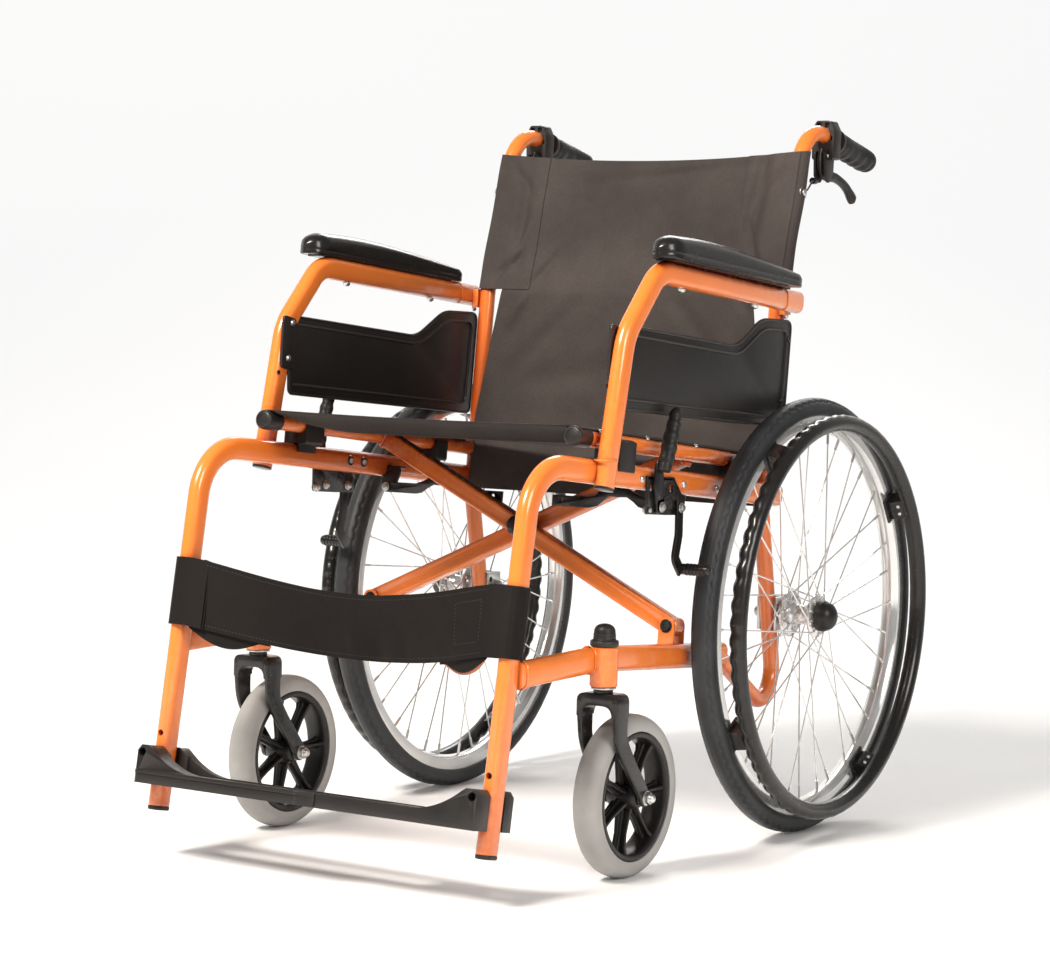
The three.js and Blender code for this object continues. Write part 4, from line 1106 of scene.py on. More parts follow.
def caster_wheel(side):
    """A moulded wheel with seven ribbed spokes, its solid tyre, its bolt and domed nuts."""
    centre = (CASTER["x"], CASTER["y"] + CASTER["trail"], 100)
    rim = both_ways([(-15.5, 72), (-16.5, 73.5), (-16.5, 78), (-15, 79)])
    rim += [(11, 70.6), (4, 69.8), (-4, 69.8), (-11, 70.6)]
    hub = both_ways([(-21, 4.6), (-21, 11), (-19.5, 13), (-15, 14.5), (-8, 17)])
    shells = [lathe(rim, "x", centre, 120), lathe(hub, "x", centre, 48)]
    path = [point(0, 0, radius) for radius in (13, 22, 46, 63, 71.5)]
    web_sizes = [(1.3, 0.95), (1.2, 0.85), (1, 0.72), (1.1, 0.86), (1.7, 1.25)]
    rib_sizes = [(1.25, 1), (1.1, 1), (0.9, 0.9), (1.0, 1), (1.35, 1.3)]
    for i in range(7):
        web = sweep(path, rectangle(5, 15, 2), ACROSS, False, web_sizes)
        rib = sweep(path, rectangle(19, 4.6, 1.6), ACROSS, False, rib_sizes)
        spin = Matrix.Translation(centre) @ Matrix.Rotation(math.tau * i / 7 + 0.25, 4, "X")
        shells += [moved(web, spin), moved(rib, spin)]
    side_piece(side, "caster_hub", shells, BLACK_PLASTIC, "caster", "caster_wheel", 0.5, 2, 50, 42)
    profile = [(-16.5, 79.6), (-18, 82), (-18, 88)]
    profile += [(-18 * math.cos(a) ** 0.8, 88 + 12 * math.sin(a)) for a in (0.25, 0.5, 0.75, 1.0, 1.2, 1.4)]
    profile += [(0, 100)] + [(-x, r) for x, r in reversed(profile)]
    ring = lathe(profile, "x", centre, 144)
    side_piece(side, "caster_tread", [ring], GREY_TYRE, "caster", "caster_tyre", 0, smooth=50)
    x, y, z = centre
    shells = [rod("x", 4, x - 33, x + 33, (0, y, z), 16)]
    for end in (-1, 1):
        shells += acorn((x + end * 30.2, y, z), (end, 0, 0), 7)
        shells.append(washer("x", x + end * 29.8, x + end * 30.8, 4, 9, (0, y, z)))
    side_piece(side, "caster_bolt", shells, SILVER, "fork", "caster_axle", 0.2)


# ---------------------------------------------------------------- wheel lock
def lock_grip():
    """The ribbed rubber grip of the lock lever, standing on its own origin."""
    sides, steps, length, points = 28, 48, 82, []
    for i in range(steps + 1):
        t = i / steps
        d = length * t
        radius = 8.2 + 1.6 * math.sin(math.pi * min(1, t * 1.25))
        radius += 0.55 * math.cos(math.tau * d / 15) * (0.1 < t < 0.85)
        if t > 0.86:
            radius *= math.sqrt(max(0.02, 1 - ((t - 0.86) / 0.145) ** 2))
        points += [point(a, b, d) for a, b in circle(radius, sides)]
    return points, capped(steps + 1, sides)


def wheel_lock(side):
    """The lock's plate, lever and grip, its brake arm with the ribbed shoe, and their bolts."""
    x = LOCK["x"]
    (py, pz), (ay, az) = LOCK["pivot"], LOCK["arm"]
    outline = [(-384, 441, 4), (-340, 438, 2), (-296, 436, 4), (-296, 458, 6), (-318, 482, 6), (-384, 487, 5)]
    plate = prism(filleted(outline), "x", 255.3, 258.3)
    squares = [block((12, 9, 9), (256, y, z), 0.8) for y, z in ((-374, 474), (-326, 470), (-306, 446))]
    lip = prism(filleted([(-384, 484, 1), (-318, 480, 1), (-318, 484, 1), (-384, 488, 1)]), "x", 252, 258.3)
    shells = [carved(plate, *squares), lip]
    shells += [rod("x", 5, 257, 263.8, (0, y, z), 20) for y, z in (LOCK["pivot"], LOCK["arm"])]
    side_piece(side, "lock_bracket", shells, SATIN_BLACK, "side", "lock_plate", 0.5, 2, 40)
    bar = [(py - 8, pz - 8, 5), (py + 6, pz - 8, 6), (py + 8, pz + 10, 6)]
    bar += [(-355, 506, 3), (-368, 506, 3), (-374, 476, 6)]
    crank = [(py - 9, pz - 8, 7), (py - 9, pz + 8, 6)]
    crank += [(-338, 463, 6), (-328, 460, 5), (-330, 449, 5), (-340, 446, 6)]
    hole = bore("x", 5.4, 250, 270, (0, py, pz))
    steel = [carved(prism(filleted(shape), "x", x - 2, x + 2), hole) for shape in (bar, crank)]
    lean = Matrix.Translation((x + 7.5, -362, 494)) @ Matrix.Rotation(-0.34, 4, "X")
    handle = moved(lock_grip(), lean)
    side_piece(side, "lock_lever_grip", [handle], GRIP, "handle", "", 0, smooth=50)
    side_piece(side, "lock_lever_bar", steel, SATIN_BLACK, "handle", "lock_handle", 0.5)
    arm = [point(x, ay, az + 9), point(x, ay, 412), point(x, -318, 383), point(x, -302, 365)]
    hole = bore("x", 5.4, 250, 270, (0, ay, az))
    blade = carved(sweep(bent(arm, [14, 10], 12), rectangle(4, 15, 1)), hole)
    rows = [(x - 0.5, 0), (x - 0.5, 6.4), (x + 1, 7), (x + 38, 7), (x + 41, 5.8), (x + 41.8, 0)]
    shoe = (0, -301, 369)
    foot = lathe(rows, "x", shoe, 28)
    ribs = [washer("x", x + k, x + k + 1.6, 6.5, 7.8, shoe, 28) for k in range(8, 38, 5)]
    side_piece(side, "lock_arm_blade", [blade, foot] + ribs, SATIN_BLACK, "lock", "lock_arm", 0.4)
    heads = []
    for y, z in (LOCK["pivot"], LOCK["arm"]):
        heads += bolt((x + 2.6, y, z), (1, 0, 0), 5, 4.4)
    heads += bolt((x - 2.8, -379, 446), (1, 0, 0), 3.4, 3, False)
    for y, z in (LOCK["pivot"], LOCK["arm"], (-379, 446)):
        heads += bolt((255.3, y, z), (-1, 0, 0), 4.8, 4.6)
    side_piece(side, "lock_bolts", heads, SILVER, "side", "", 0.2)


# ---------------------------------------------------------------- folding brace
def seat_guides(side):
    """Moulded saddles that straddle the rail and hold the seat tube when the chair is open."""
    for name, start, end in (("front", -449, -413), ("rear", -160, -131)):
        y = (start + end) / 2
        rail, centre = rail_z(y), seat_z(y)
        base, top = rail + 15.5, centre + 3
        low = rail + 4
        shape = [(231, low, 1), (234.4, low, 1), (234.4, base, 0), (255.3, base, 0), (255.3, low, 1)]
        shape += [(257, low, 1), (257, top - 3, 3), (250, top, 2)]
        shape += [(219.4, top, 2), (219.4, base, 4), (231, base, 2)]
        channel = bore("y", 12, start - 9, end + 9, (234, 0, centre), 36)
        opening = block((23.6, 60, 30), (234, y, centre + 15))
        body = carved(prism(filleted(shape), "y", start, end), channel, opening)
        body = turned_about(body, (0, y, rail), -math.atan(RAIL["fall"]))
        side_piece(side, f"saddle_{name}", [body], BLACK_PLASTIC, "side", f"seat_guide_{name}", 0.7)


def brace(name, plane, sign):
    """A rectangular tube from one lower pivot up to the opposite seat tube."""
    low, high = point(sign * PIVOT["x"], plane, PIVOT["z"]), point(-sign * SEAT["x"], plane, PIVOT["top"])
    along = (high - low).normalized()
    bar = sweep([low, high - along * 7], rectangle(20, 24, 3), REARWARD)
    rows = [(plane - 10, 5), (plane - 10, 11.4), (plane - 9.4, 12)]
    rows += [(plane + 9.4, 12), (plane + 10, 11.4), (plane + 10, 5)]
    heel = lathe(rows, "y", (low.x, 0, low.z), 36)
    ends = []
    for y in (SEAT["front"], SEAT["rear"]):
        ends.append(point(high.x, FOLD_Y + (y - FOLD_Y) / math.cos(FOLD_TILT), high.z))
    tube = sweep(ends, circle(TUBE, 36), UP)
    joint, across = high - along * 10.6, along.cross(REARWARD)
    bead = [joint + Vector((0, a, 0)) + across * b for a, b in rectangle(21, 25, 4)]
    pivots = [(low.x, low.z), (0, PIVOT["cross"])]
    bores = [bore("y", 5.2, plane - 20, plane + 20, (x, 0, z)) for x, z in pivots]
    shells = [carved(bar, *bores), heel, tube, weld(bead, 1.6)]
    body = f"brace_{name}"
    piece(f"{body}_tubes", [tipped(s) for s in shells], ORANGE, body, [body], 0.5, 2, 50, 40)
    front = ends[0]
    plug = [(-6, 0), (-6, 9.5), (-5, 11.4), (-3.5, 12.4), (-1, 12.6), (24, 12.6)]
    plug += [(25, 11.9), (25, 11.1), (2, 11.05), (2, 0)]
    recess = washer("y", -6.6, -5.6, 8.6, 9.4, front, 40)
    tail = [(-3, 0), (-3, 11), (3.4, 11.4), (5, 10), (5.6, 0)]
    shells = [lathe(plug, "y", front, 40), recess, lathe(tail, "y", ends[1], 40)]
    piece(f"{body}_tube_plugs", [tipped(s) for s in shells], BLACK_PLASTIC, body, (), 0, smooth=40)


def cross_bolt():
    """The bolt where the two braces cross, with its cap, nut and spacer."""
    front, rear = PIVOT["front"] - 10.4, PIVOT["rear"] + 10.4
    z = PIVOT["cross"]
    shells = [rod("y", 4.5, front - 2, rear + 8, (0, 0, z), 20)]
    cap = [(0, 0), (0, 12.4), (1.5, 13), (5, 12.6), (8, 10), (9.4, 5), (9.6, 0)]
    shells.append(lathe([(front - a, radius) for a, radius in cap], "y", (0, 0, z), 40))
    shells += acorn((0, rear, z), (0, 1, 0), 7)
    shells.append(washer("y", -261.7, -260.3, 5, 12, (0, 0, z)))
    piece("cross_pivot_bolt", [tipped(s) for s in shells], SATIN_BLACK, "brace_front", ["cross_bolt"], 0.3)


def stay_link(side):
    """A flat stay with a hump in its middle, hung from the rail's clip."""
    plane = STAY_PLANE[side]
    end, half, z, top = STAY["x"] - STAY["reach"], STAY["bar"] / 2, STAY["z"], STAY["z"] + STAY["hump"]
    lower = [(end - half, z - 10), (end + 50, z - 10), (end + 62, z - 7), (end + 70, z)]
    lower += [(end + 78, top - 13.5), (end + 92, top - STAY["bar"]), (end + 106, top - 13.5)]
    lower += [(end + 116, z + 1), (end + 124, z - 5), (end + 134, z - half)]
    upper = [(end + 134, z + half), (end + 122, z + half + 4), (end + 114, top - 5), (end + 104, top - 1)]
    upper += [(end + 92, top), (end + 78, top - 1), (end + 66, top - 6), (end + 58, z + 6)]
    upper += [(end + 48, z + 4), (end - half, z + 4)]
    nose = []
    for i in range(11):
        a = math.pi * (i / 10 - 0.5)
        nose.append((STAY["x"] + half * math.cos(a), z + half * math.sin(a)))
    bar = prism(lower + nose + upper, "y", plane - 1.7, plane + 1.7)
    pins = [(4, STAY["x"], z), (3, end + 8, z - 3)]
    bar = carved(bar, *[bore("y", r, plane - 9, plane + 9, (a, 0, b), 16) for r, a, b in pins])
    side_piece(side, "stay_bar", [tipped(bar)], SATIN_BLACK, "stay", "stay_link", 0.5)
    clip = -SIDES[side]
    pin = [tipped(s) for s in bolt((STAY["x"], plane - clip * 2.2, z), (0, -clip, 0), 4.6, 4)]
    pin.append(tipped(rod("y", 3.4, plane - 4, plane + 4, (STAY["x"], 0, z), 16)))
    side_piece(side, "stay_pin", pin, SILVER, "side", "", 0.2)


# ---------------------------------------------------------------- footplate
def footplate_bar(front, rear, sections=72):
    """One bar of the plate: low in the middle with a concave sweep up to an ear at each end."""
    ear, low, high, bottom = FOOT["ear"], FOOT["top"], FOOT["ear_top"], FOOT["bottom"]
    points = []
    for i in range(sections + 1):
        x = ear * (2 * i / sections - 1)
        x = math.copysign(ear * (abs(x) / ear) ** 0.75, x)
        reach = ear - abs(x)
        t = min(max((reach - 17) / 84, 0.0), 1.0)
        top = high + (low - high) * (1 - (1 - t) ** 2.3)
        round_off = 7 * (1 - math.sqrt(max(0.0, 1 - (1 - min(reach / 7, 1)) ** 2)))
        points.append((x, top - round_off))
    outline = [(-ear, bottom)] + points + [(ear, bottom)]
    clean = [outline[0]]
    for a, b in outline[1:]:
        if abs(a - clean[-1][0]) + abs(b - clean[-1][1]) > 0.3:
            clean.append((a, b))
    return prism(clean, "y", front, rear)


def footplate():
    """Two bars joined by a ridged tread, with bolt recesses in the ears and a parting line."""
    clear, x = 15.8, LEG["x"]
    front, rear, low, bottom = FOOT["front"], FOOT["rear"], FOOT["top"], FOOT["bottom"]
    recesses = [bore("y", 5.3, front - 3, front + 18, (s * x, 0, 0), 28) for s in (-1, 1)]
    bores = [bore("y", 4.2, front - 3, rear + 3, (s * x, 0, 0), 16) for s in (-1, 1)]
    slot = block((320, 42, 60), (-62, 0, -15))
    front_bar = carved(footplate_bar(front, -clear), *recesses, *bores, slot)
    rear_bar = carved(footplate_bar(clear, rear), *bores, slot)
    z = (low + bottom) / 2
    tread = block((87, 2 * clear + 2, low - bottom), (141.5, 0, z))
    nose = [(-243, front + 1, 1), (-243, front - 14, 7), (6, front - 14, 14), (32, front + 1, 10)]
    lip = prism(filleted(nose, 8), "z", bottom + 1, low + 1.5)
    rolled = [(a, b - 1.4 if b < front else b, r) for a, b, r in nose]
    seam = prism(filleted(rolled, 8), "z", low - 3.5, low + 0.6)
    rows = [(430, -2, (-40, -36, -32, -28, -24, 24, 27, 30)), (236, -118, (-54, -50, -46))]
    ridges = [block((wide, 1.6, 1.2), (a, y, low + 0.3), 0.5) for wide, a, places in rows for y in places]
    shells = [on_leg(s) for s in [front_bar, rear_bar, tread, lip, seam] + ridges]
    piece("footplate_plate", shells, BLACK_PLASTIC, "footplate", ["footplate"], 1.1, 2, 40, 45)
    head = [(11, 0), (11, 2.4), (12.4, 2.4), (12.4, 4.6), (17, 4.6), (17, 0)]
    head = [(front + a, radius) for a, radius in head]
    shells = [lathe(head, "y", (x, 0, 0), 24), rod("y", 4, front + 16, rear - 1, (x, 0, 0), 20)]
    piece("footplate_hinge_bolt", [on_leg(s) for s in shells], SILVER, "left_side", ["footplate_bolt"], 0.2)
    catch = [lathe(head, "y", (-x, 0, 0), 24), rod("y", 4, front + 16, -clear - 0.5, (-x, 0, 0), 20)]
    piece("footplate_catch_bolt", [on_leg(s) for s in catch], SATIN_BLACK, "footplate", (), 0.2)


def sheet(surface, columns, rows, thickness):
    """A closed sheet of fabric around surface(u, v), with u and v running from 0 to 1."""
    grid = [[surface(i / columns, j / rows) for i in range(columns + 1)] for j in range(rows + 1)]
    front, back = [], []
    for j in range(rows + 1):
        for i in range(columns + 1):
            du = grid[j][min(i + 1, columns)] - grid[j][max(i - 1, 0)]
            dv = grid[min(j + 1, rows)][i] - grid[max(j - 1, 0)][i]
            normal = du.cross(dv).normalized() * thickness / 2
            front.append(grid[j][i] + normal)
            back.append(grid[j][i] - normal)
    wide, count = columns + 1, len(front)
    faces = []
    for j in range(rows):
        for i in range(columns):
            a = j * wide + i
            faces.append((a, a + 1, a + 1 + wide, a + wide))
            faces.append((count + a + wide, count + a + 1 + wide, count + a + 1, count + a))
    rim = list(range(wide)) + [j * wide + columns for j in range(1, rows + 1)]
    rim += [rows * wide + i for i in range(columns - 1, -1, -1)] + [j * wide for j in range(rows - 1, 0, -1)]
    for a, b in zip(rim, rim[1:] + rim[:1]):
        faces.append((b, a, count + a, count + b))
    return front + back, faces


def stitches(surface, start, end, lift, pitch=4.4, length=3.1):
    """Raised threads along the straight line from start to end in (u, v), standing lift above the surface."""
    (u0, v0), (u1, v1) = start, end
    fine = 60
    line = [surface(u0 + (u1 - u0) * k / fine, v0 + (v1 - v0) * k / fine) for k in range(fine + 1)]
    total = sum((b - a).length for a, b in zip(line, line[1:]))
    shells = []
    for k in range(int(total / pitch)):
        t = (k + 0.5) * pitch / total
        u, v = u0 + (u1 - u0) * t, v0 + (v1 - v0) * t
        here = surface(u, v)
        step = 0.004
        along = (surface(u + (u1 - u0) * step, v + (v1 - v0) * step) - here).normalized()
        normal = (surface(u + step, v) - here).cross(surface(u, v + step) - here).normalized()
        side = along.cross(normal)
        ends = [here + normal * lift + along * (length * s) for s in (-0.5, 0.5)]
        middle = here + normal * (lift + 0.45)
        ring = [middle + side * 0.5, middle + normal * 0.25, middle - side * 0.5, middle - normal * 0.5]
        faces = [(0, 2 + i, 2 + (i + 1) % 4) for i in range(4)]
        faces += [(1, 2 + (i + 1) % 4, 2 + i) for i in range(4)]
        shells.append((ends + ring, faces))
    return shells


def soft_piece(name, cloth, threads, finish, body=None, replaces=(), sign=1):
    """Fabric and its stitching as one object."""
    mesh = make_mesh(name, flipped(cloth + threads, sign))
    work = bmesh.new()
    work.from_mesh(mesh)
    bmesh.ops.recalc_face_normals(work, faces=work.faces)
    fabric_faces = sum(len(faces) for _, faces in cloth)
    work.faces.ensure_lookup_table()
    for index, face in enumerate(work.faces):
        face.smooth = True
        face.material_index = 0 if index < fabric_faces else 1
    work.to_mesh(mesh)
    work.free()
    mesh.set_sharp_from_angle(angle=math.radians(60))
    return finished(name, mesh, [finish, THREAD], body, replaces)


def crease(along, across, reach, width, depth):
    """A soft fold: deep at its middle, fading over reach along it and width across it."""
    return depth * math.exp(-((along / reach) ** 2)) * math.exp(-((across / width) ** 2))


def back_top(x):
    return 897.6 + 10.4 * (abs(x) / 246) ** 2


def back_sag(x, z):
    """How far the back fabric hangs behind the plane of the posts' fronts, with its folds."""
    depth = 13 + 5 * math.sin(math.pi * min(max((z - 520) / 380, 0), 1))
    if z < 540:
        depth *= 0.45 + 0.55 * max(0.0, (z - 430) / 110)
    sag = depth * max(0.0, 1 - (abs(x) / 203) ** 2.2)
    for ax, az, turn, reach, width, amount in BACK_FOLDS:
        dx, dz = x - ax, z - az
        c, s = math.cos(turn), math.sin(turn)
        sag += crease(dx * c + dz * s, -dx * s + dz * c, reach, width, 2.6 * amount)
    return sag


BACK_FOLDS = [
    (-150, 735, 0.9, 46, 7, 2.2),
    (-172, 700, 1.1, 50, 9, -2.4),
    (-120, 660, 0.8, 80, 14, 1.8),
    (165, 730, -0.9, 50, 8, 2.0),
    (120, 655, -0.8, 85, 15, 1.6),
    (186, 830, 1.5, 85, 9, 2.6),
    (-188, 820, 1.6, 70, 8, 1.6),
    (60, 880, 0.1, 120, 7, 1.0),
    (-70, 600, 0.15, 110, 20, 1.4),
    (90, 560, -0.2, 120, 16, 1.6),
    (0, 780, 0.05, 160, 40, 1.5),
    (-40, 500, 0.3, 90, 14, 1.6),
    (-205, 742, 0.7, 36, 7, 2.4),
    (-212, 884, -0.8, 34, 7, 2.0),
    (-190, 765, 1.2, 60, 6, -1.6),
    (212, 880, 0.8, 34, 7, 2.0),
    (176, 850, 1.45, 70, 8, 2.4),
    (196, 760, -1.1, 60, 6, 1.8),
]


# The back panel: its lower edge, half its width above the sleeves' lower edge, and where it stops widening.
BACK = {"foot": 435, "half": 201, "sleeve_foot": 717, "waist": 537}


def back_width(z):
    """Half the panel's width: constant behind the sleeves and wider in the flap below them."""
    if z > BACK["sleeve_foot"]:
        return BACK["half"]
    if z > BACK["waist"]:
        return BACK["half"] + 28 * (BACK["sleeve_foot"] - z) / 180
    return 229 + 3 * (BACK["waist"] - z) / 102


def back_upholstery():
    """The back panel and a sleeve round each post."""
    def panel(u, v):
        s = 2 * u - 1
        z = BACK["foot"] + v * (back_top(s * BACK["half"]) - BACK["foot"])
        x = s * back_width(z)
        return point(x, post_y(z) - 12.6 + back_sag(x, z), z)

    cloth = [sheet(panel, 120, 130, 1.1)]
    threads = stitches(panel, (0.04, 0.018), (0.96, 0.018), 0.4)
    threads += stitches(panel, (0.12, 0.972), (0.88, 0.972), 0.4)
    mid = soft_piece("back_panel", cloth, threads, CLOTH, "left_side", ["back_upholstery"])
    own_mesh(mid)
    for side, sign in SIDES.items():
        def sleeve(u, v, sign=sign):
            place = u * 26
            i, t = min(int(place), 25), place - min(int(place), 25)
            (x0, d0), (x1, d1) = sleeve_point(i), sleeve_point(i + 1)
            x, d = x0 + (x1 - x0) * t, d0 + (d1 - d0) * t
            z = 716 + v * (back_top(x) + 0.5 - 716)
            flat = min(max((222 - x) / 20, 0.0), 1.0)
            sag = back_sag(sign * x, z) * flat
            front = place < 9
            rear = place > 17
            if front:
                d = -13.9 + sag
            elif rear:
                d = d * (1 - flat) + flat * (-11.2 + sag)
            swell = math.sin(math.pi * min(max((place - 7) / 12, 0), 1))
            puff = (0.8 + 0.9 * math.sin(z / 19 + sign)) * swell
            return point(x + puff, post_y(z) + d, z)

        cloth = [sheet(sleeve, 104, 60, 1.2)]
        threads = []
        for x in (163, 170):
            u = (x - 160) / 62 * 7 / 26
            threads += stitches(sleeve, (u, 0.0), (u, 0.995), -0.75)
        threads += stitches(sleeve, (0.0, 0.045), (1.0, 0.045), -0.75)
        soft_piece(f"{side}_back_sleeve", cloth, threads, CLOTH, f"{side}_side", (), sign)


def sleeve_point(i):
    """The sleeve's course round the post: along its front, round its outer side and back along its rear."""
    if i <= 7:
        return 160 + 62 * i / 7, -13.9
    if i <= 18:
        a = -math.pi / 2 + math.pi * (i - 7) / 11
        return 233 + 12.9 * math.cos(a), 12.9 * math.sin(a)
    return 233 - 71 * (i - 18) / 8, 12.9


def seat_sling():
    """The seat's cloth round both seat tubes, with its rolled front hem."""
    front, rear, tube_x = -513, -64, SEAT["x"]

    def cover(u, v):
        s = 2 * u - 1
        x = s * 243
        y = front + v * (rear - front)
        edge = abs(x) - tube_x
        if edge > 0:
            a = edge / 12.4
            x = math.copysign(tube_x + 12.4 * math.sin(a), x)
            lift = 12.4 * math.cos(a)
        else:
            inside = 1 - (min(abs(x), 222) / 222) ** 2
            lift = 12.4 - inside * (2.2 + 9 * math.sin(math.pi * min(1, 0.15 + v * 0.8)))
            for ay, ax, amount in ((-120, 120, 1.6), (-430, -90, 1.2), (-250, 150, 1.5), (-300, -150, 1.4)):
                lift += crease(x - ax, (y - ay) + 0.3 * (x - ax), 90, 12, amount) * (inside > 0.02)
        ripple = 0.5 * math.sin(y / 17.0) * max(0.0, min(1, edge / 4 + 1)) if edge > -6 else 0
        return point(x, y, seat_z(y) + lift + ripple * 0.6)

    def hem(u, v):
        x = -222 + 444 * u
        a = math.tau * v
        inside = 1 - (x / 222) ** 2
        full = min(max((x + 222) / 130, 0.0), 1.0)
        deep = 1.6 + 9.4 * full * (2 - full)
        y = front + 3 + (2.6 + 0.3 * deep) * math.cos(a) + 0.7 * math.sin(x / 31)
        z = seat_z(front) + 13 - deep - inside * 2.2 + deep * math.sin(a)
        return point(x, y, z)

    columns, around = 110, 20
    rings = [hem(i / columns, j / around) for i in range(columns + 1) for j in range(around)]
    cloth = [sheet(cover, 130, 110, 1.5), (rings, capped(columns + 1, around))]
    threads = []
    for u in (0.03, 0.97):
        threads += stitches(cover, (u, 0.0), (u, 0.995), 0.6)
    threads += stitches(cover, (0.03, 0.04), (0.97, 0.04), 0.6)
    threads += stitches(cover, (0.03, 0.97), (0.97, 0.97), 0.6)
    sling = soft_piece("seat_sling_cloth", cloth, threads, SEAT_CLOTH, None, ["seat_sling"])
    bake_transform(sling)


# The calf strap in the leg's axes: its half height, its middle's height, how far it bows back and dips.
STRAP = {"half": 42, "height": 202, "reach": 226, "bow": 44.5, "dip": 22}


def strap_place(x, height):
    """A point on the calf strap in the leg's axes, with height counted from the strap's middle line."""
    s = min(abs(x) / STRAP["reach"], 1.0)
    slack = (1 - s * s) ** 1.25
    lean = 0.42 * slack
    v = -17.6 + STRAP["bow"] * slack
    w = STRAP["height"] - STRAP["dip"] * slack
    fold = crease(x - 30, height + 30, 14, 26, 4.2) + crease(x + 5, height + 20, 9, 30, -3.2)
    fold += crease(x - 75, height + 25, 12, 24, 2.8) + crease(x + 60, height - 20, 18, 22, -2.6)
    fold += crease(x + 120, height + 26, 16, 18, 3.4) + crease(x - 140, height - 24, 22, 16, 2.8)
    fold += 1.5 * math.sin(x / 17 + 0.8 * math.sin(x / 41)) * slack * (height / 42) ** 2
    return point(x, v - math.sin(lean) * height + fold, w + math.cos(lean) * height)


def calf_strap():
    """The band between the legs with its two loose tails, and a wrap round each leg."""
    half = STRAP["half"]

    def band(u, v):
        return on_leg(([strap_place(-228 + 456 * u, half * (2 * v - 1))], []))[0][0]

    def tail(sign, reach, drop):
        def surface(u, v):
            x = sign * (222 - reach * u)
            height = half * (2 * v - 1) - drop * math.sin(math.pi * min(u * 1.15, 1)) * (1 - v) - 2
            p = strap_place(x, height)
            return on_leg(([point(p.x, p.y + 3.2 + 4 * u * (1 - v), p.z)], []))[0][0]
        return surface

    cloth = [sheet(band, 150, 28, 1.8)]
    cloth += [sheet(tail(1, 92, 13), 30, 16, 1.6), sheet(tail(-1, 96, 15), 30, 16, 1.6)]
    threads = []
    for v in (0.065, 0.935):
        threads += stitches(band, (0.01, v), (0.99, v), 0.8)
    patch = [(0.86, 0.22), (0.955, 0.22), (0.955, 0.8), (0.86, 0.8)]
    for start, end in zip(patch, patch[1:] + patch[:1]):
        threads += stitches(band, start, end, 0.8)
    mid = soft_piece("calf_strap_band", cloth, threads, WEBBING, "left_side", ["calf_strap"])
    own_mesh(mid)
    for side, sign in SIDES.items():
        inner = 216 if sign > 0 else 203

        def wrap(u, v, inner=inner):
            loop_points = [(inner, -19.6), (236, -19.6), (241, -19.4)]
            loop_points += [(245 + 11.8 * math.cos(a), -6.4 + 12.4 * math.sin(a)) for a in (-1.2, -0.7, -0.3)]
            loop_points += [(257, 0), (245 + 11.8 * math.cos(0.3), 7), (253, 14)]
            loop_points += [(245, 17.6), (236, 17), (222, 2)]
            loop_points.append((inner - 2, -13.0))
            place = u * (len(loop_points) - 1)
            i = min(int(place), len(loop_points) - 2)
            t = place - i
            (x0, y0), (x1, y1) = loop_points[i], loop_points[i + 1]
            x, y = x0 + (x1 - x0) * t, y0 + (y1 - y0) * t
            slack = max(0.0, 1 - (min(x, STRAP["reach"]) / STRAP["reach"]) ** 2) ** 1.25
            if u < 0.25:
                y += STRAP["bow"] * slack
            z = STRAP["height"] + half * (2 * v - 1) - STRAP["dip"] * slack
            return on_leg(([point(x, y, z)], []))[0][0]

        cloth = [sheet(wrap, 96, 24, 1.7)]
        threads = stitches(wrap, (0.006, 0.02), (0.006, 0.98), -1.1)
        for v in (0.065, 0.935):
            threads += stitches(wrap, (0.01, v), (0.5, v), -1.1)
        soft_piece(f"{side}_calf_strap_wrap", cloth, threads, WEBBING, f"{side}_side", (), sign)


# ---------------------------------------------------------------- assembly
SIDE_PARTS = (
    side_tubes, side_plastics, side_fasteners, leg_plug, caster_cap, armrest_pad, skirt_guard, push_grip,
    lever_bracket, attendant_lever, rear_wheel, caster_fork, caster_wheel, wheel_lock, seat_guides, stay_link,
)
for side_name in SIDES:
    for build in SIDE_PARTS:
        build(side_name)
brace("front", PIVOT["front"], 1)
brace("rear", PIVOT["rear"], -1)
cross_bolt()
footplate()
back_upholstery()
seat_sling()
calf_strap()


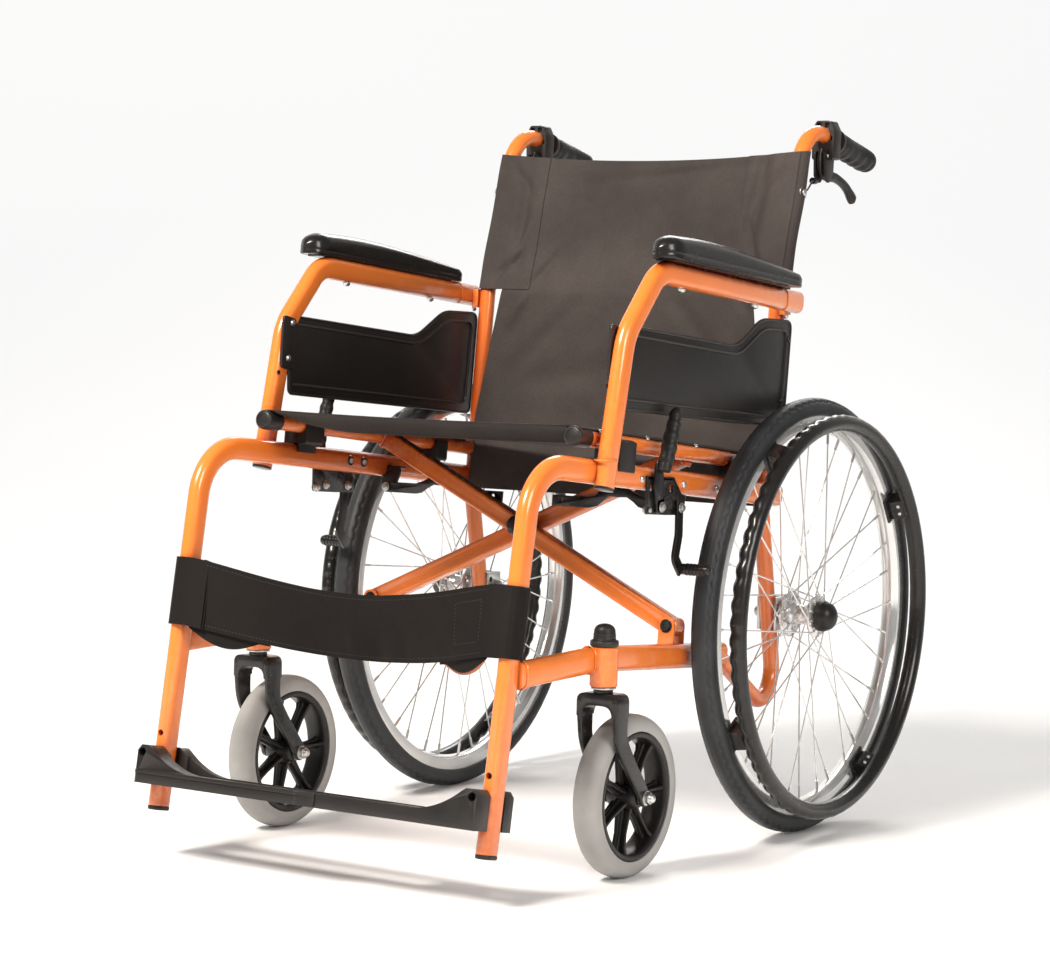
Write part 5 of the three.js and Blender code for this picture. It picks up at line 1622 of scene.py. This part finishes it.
# ---------------------------------------------------------------- floor, light and camera
def pale_floor():
    """A floor that curves up behind the chair; the camera sees through it from the back."""
    mesh = bpy.data.meshes.new("floor")
    reach, lift, flat, bend = 9.0, 6.0, 2.0, 1.5
    profile = [(-reach, 0.0), (flat, 0.0)]
    profile += [(flat + bend * math.sin(a), bend * (1 - math.cos(a))) for a in (0.3, 0.6, 0.9, 1.2, 1.5)]
    profile.append((flat + bend, lift))
    points, faces = [], []
    spin = Matrix.Rotation(CAMERA_YAW, 4, "Z")
    for y, z in profile:
        points += [spin @ Vector((-reach, y, z)), spin @ Vector((reach, y, z))]
    for i in range(len(profile) - 1):
        faces.append((2 * i, 2 * i + 1, 2 * i + 3, 2 * i + 2))
    mesh.from_pydata(points, [], faces)
    for polygon in mesh.polygons:
        polygon.use_smooth = True
    floor = bpy.data.objects.new("floor", mesh)
    bpy.context.scene.collection.objects.link(floor)
    nodes = Nodes("pale_floor", "stage")
    colour = nodes.ramp(nodes.noise(3, 4).outputs["Fac"], (0.88, 0.88, 0.88), (0.9, 0.9, 0.9))
    behind = nodes.add("ShaderNodeMath", operation="MULTIPLY")
    nodes.set(behind.inputs[0], nodes.add("ShaderNodeNewGeometry").outputs["Backfacing"])
    nodes.set(behind.inputs[1], nodes.add("ShaderNodeLightPath").outputs["Is Camera Ray"])
    seen = nodes.add("ShaderNodeMath", operation="SUBTRACT")
    seen.inputs[0].default_value = 1.0
    nodes.set(seen.inputs[1], behind.outputs[0])
    length = nodes.add("ShaderNodeVectorMath", operation="LENGTH")
    nodes.set(length.inputs[0], nodes.place)
    far = nodes.add("ShaderNodeMath", operation="MULTIPLY")
    nodes.set(far.inputs[0], nodes.span_between(length.outputs["Value"], 1.5, 3.6))
    nodes.set(far.inputs[1], behind.inputs[1].links[0].from_socket)
    glow = nodes.add("ShaderNodeMath", operation="MULTIPLY")
    nodes.set(glow.inputs[0], far.outputs[0])
    glow.inputs[1].default_value = 0.9
    colour = nodes.mix(far.outputs[0], colour, (0, 0, 0))
    shine = {"Emission_Color": (1, 1, 1, 1), "Emission_Strength": glow.outputs[0]}
    mesh.materials.append(nodes.finish(colour, 0.6, None, Alpha=seen.outputs[0], **shine))


def area_light(name, place, target, size, power, colour):
    """A round lamp at a place, aimed at a target."""
    light = bpy.data.lights.new(name, "AREA")
    light.shape, light.size, light.energy, light.color = "DISK", size, power, colour
    lamp = bpy.data.objects.new(name, light)
    lamp.location = place
    lamp.rotation_euler = (Vector(target) - Vector(place)).to_track_quat("-Z", "Y").to_euler()
    bpy.context.scene.collection.objects.link(lamp)


CAMERA_PLACE = to_metres(point(2051.1, -3386.2, 687.2))
CAMERA_YAW, CAMERA_PITCH, CAMERA_ROLL = math.radians(33.304), math.radians(3.403), math.radians(1.390)


def photo_camera():
    """The camera that the photo was taken with, as solved from it."""
    data = bpy.data.cameras.new("camera")
    data.sensor_width, data.lens = 36, 98.04
    camera = bpy.data.objects.new("camera", data)
    across, forward = math.sin(CAMERA_YAW), math.cos(CAMERA_YAW)
    flat = math.cos(CAMERA_PITCH)
    ahead = Vector((-across * flat, forward * flat, -math.sin(CAMERA_PITCH)))
    level = Vector((forward, across, 0))
    above = level.cross(ahead)
    right = level * math.cos(CAMERA_ROLL) + above * math.sin(CAMERA_ROLL)
    up = above * math.cos(CAMERA_ROLL) - level * math.sin(CAMERA_ROLL)
    turn = Matrix((right, up, -ahead)).transposed().to_4x4()
    camera.matrix_world = Matrix.Translation(CAMERA_PLACE) @ turn
    bpy.context.scene.collection.objects.link(camera)
    bpy.context.scene.camera = camera


def studio():
    """The world, three lamps and the view transform."""
    world = bpy.data.worlds.new("studio")
    world.use_nodes = True
    background = world.node_tree.nodes["Background"]
    background.inputs["Color"].default_value = (1, 1, 1, 1)
    strength = world.node_tree.nodes.new("ShaderNodeMix")
    strength.inputs[2].default_value, strength.inputs[3].default_value = 0.26, 0.9
    path = world.node_tree.nodes.new("ShaderNodeLightPath")
    world.node_tree.links.new(path.outputs["Is Camera Ray"], strength.inputs[0])
    world.node_tree.links.new(strength.outputs[0], background.inputs["Strength"])
    bpy.context.scene.world = world
    centre = (0, 0, 0.5)
    area_light("key", (-0.4, -3.2, 3.4), centre, 1.2, 300, (1, 0.94, 0.86))
    area_light("fill", (3.8, -1.4, 2.2), centre, 1.8, 85, (1, 0.96, 0.92))
    area_light("back", (-1.5, 3.2, 2.6), centre, 1.8, 90, (1, 1, 1))
    bpy.context.scene.view_settings.view_transform = "Standard"


pale_floor()
studio()
photo_camera()
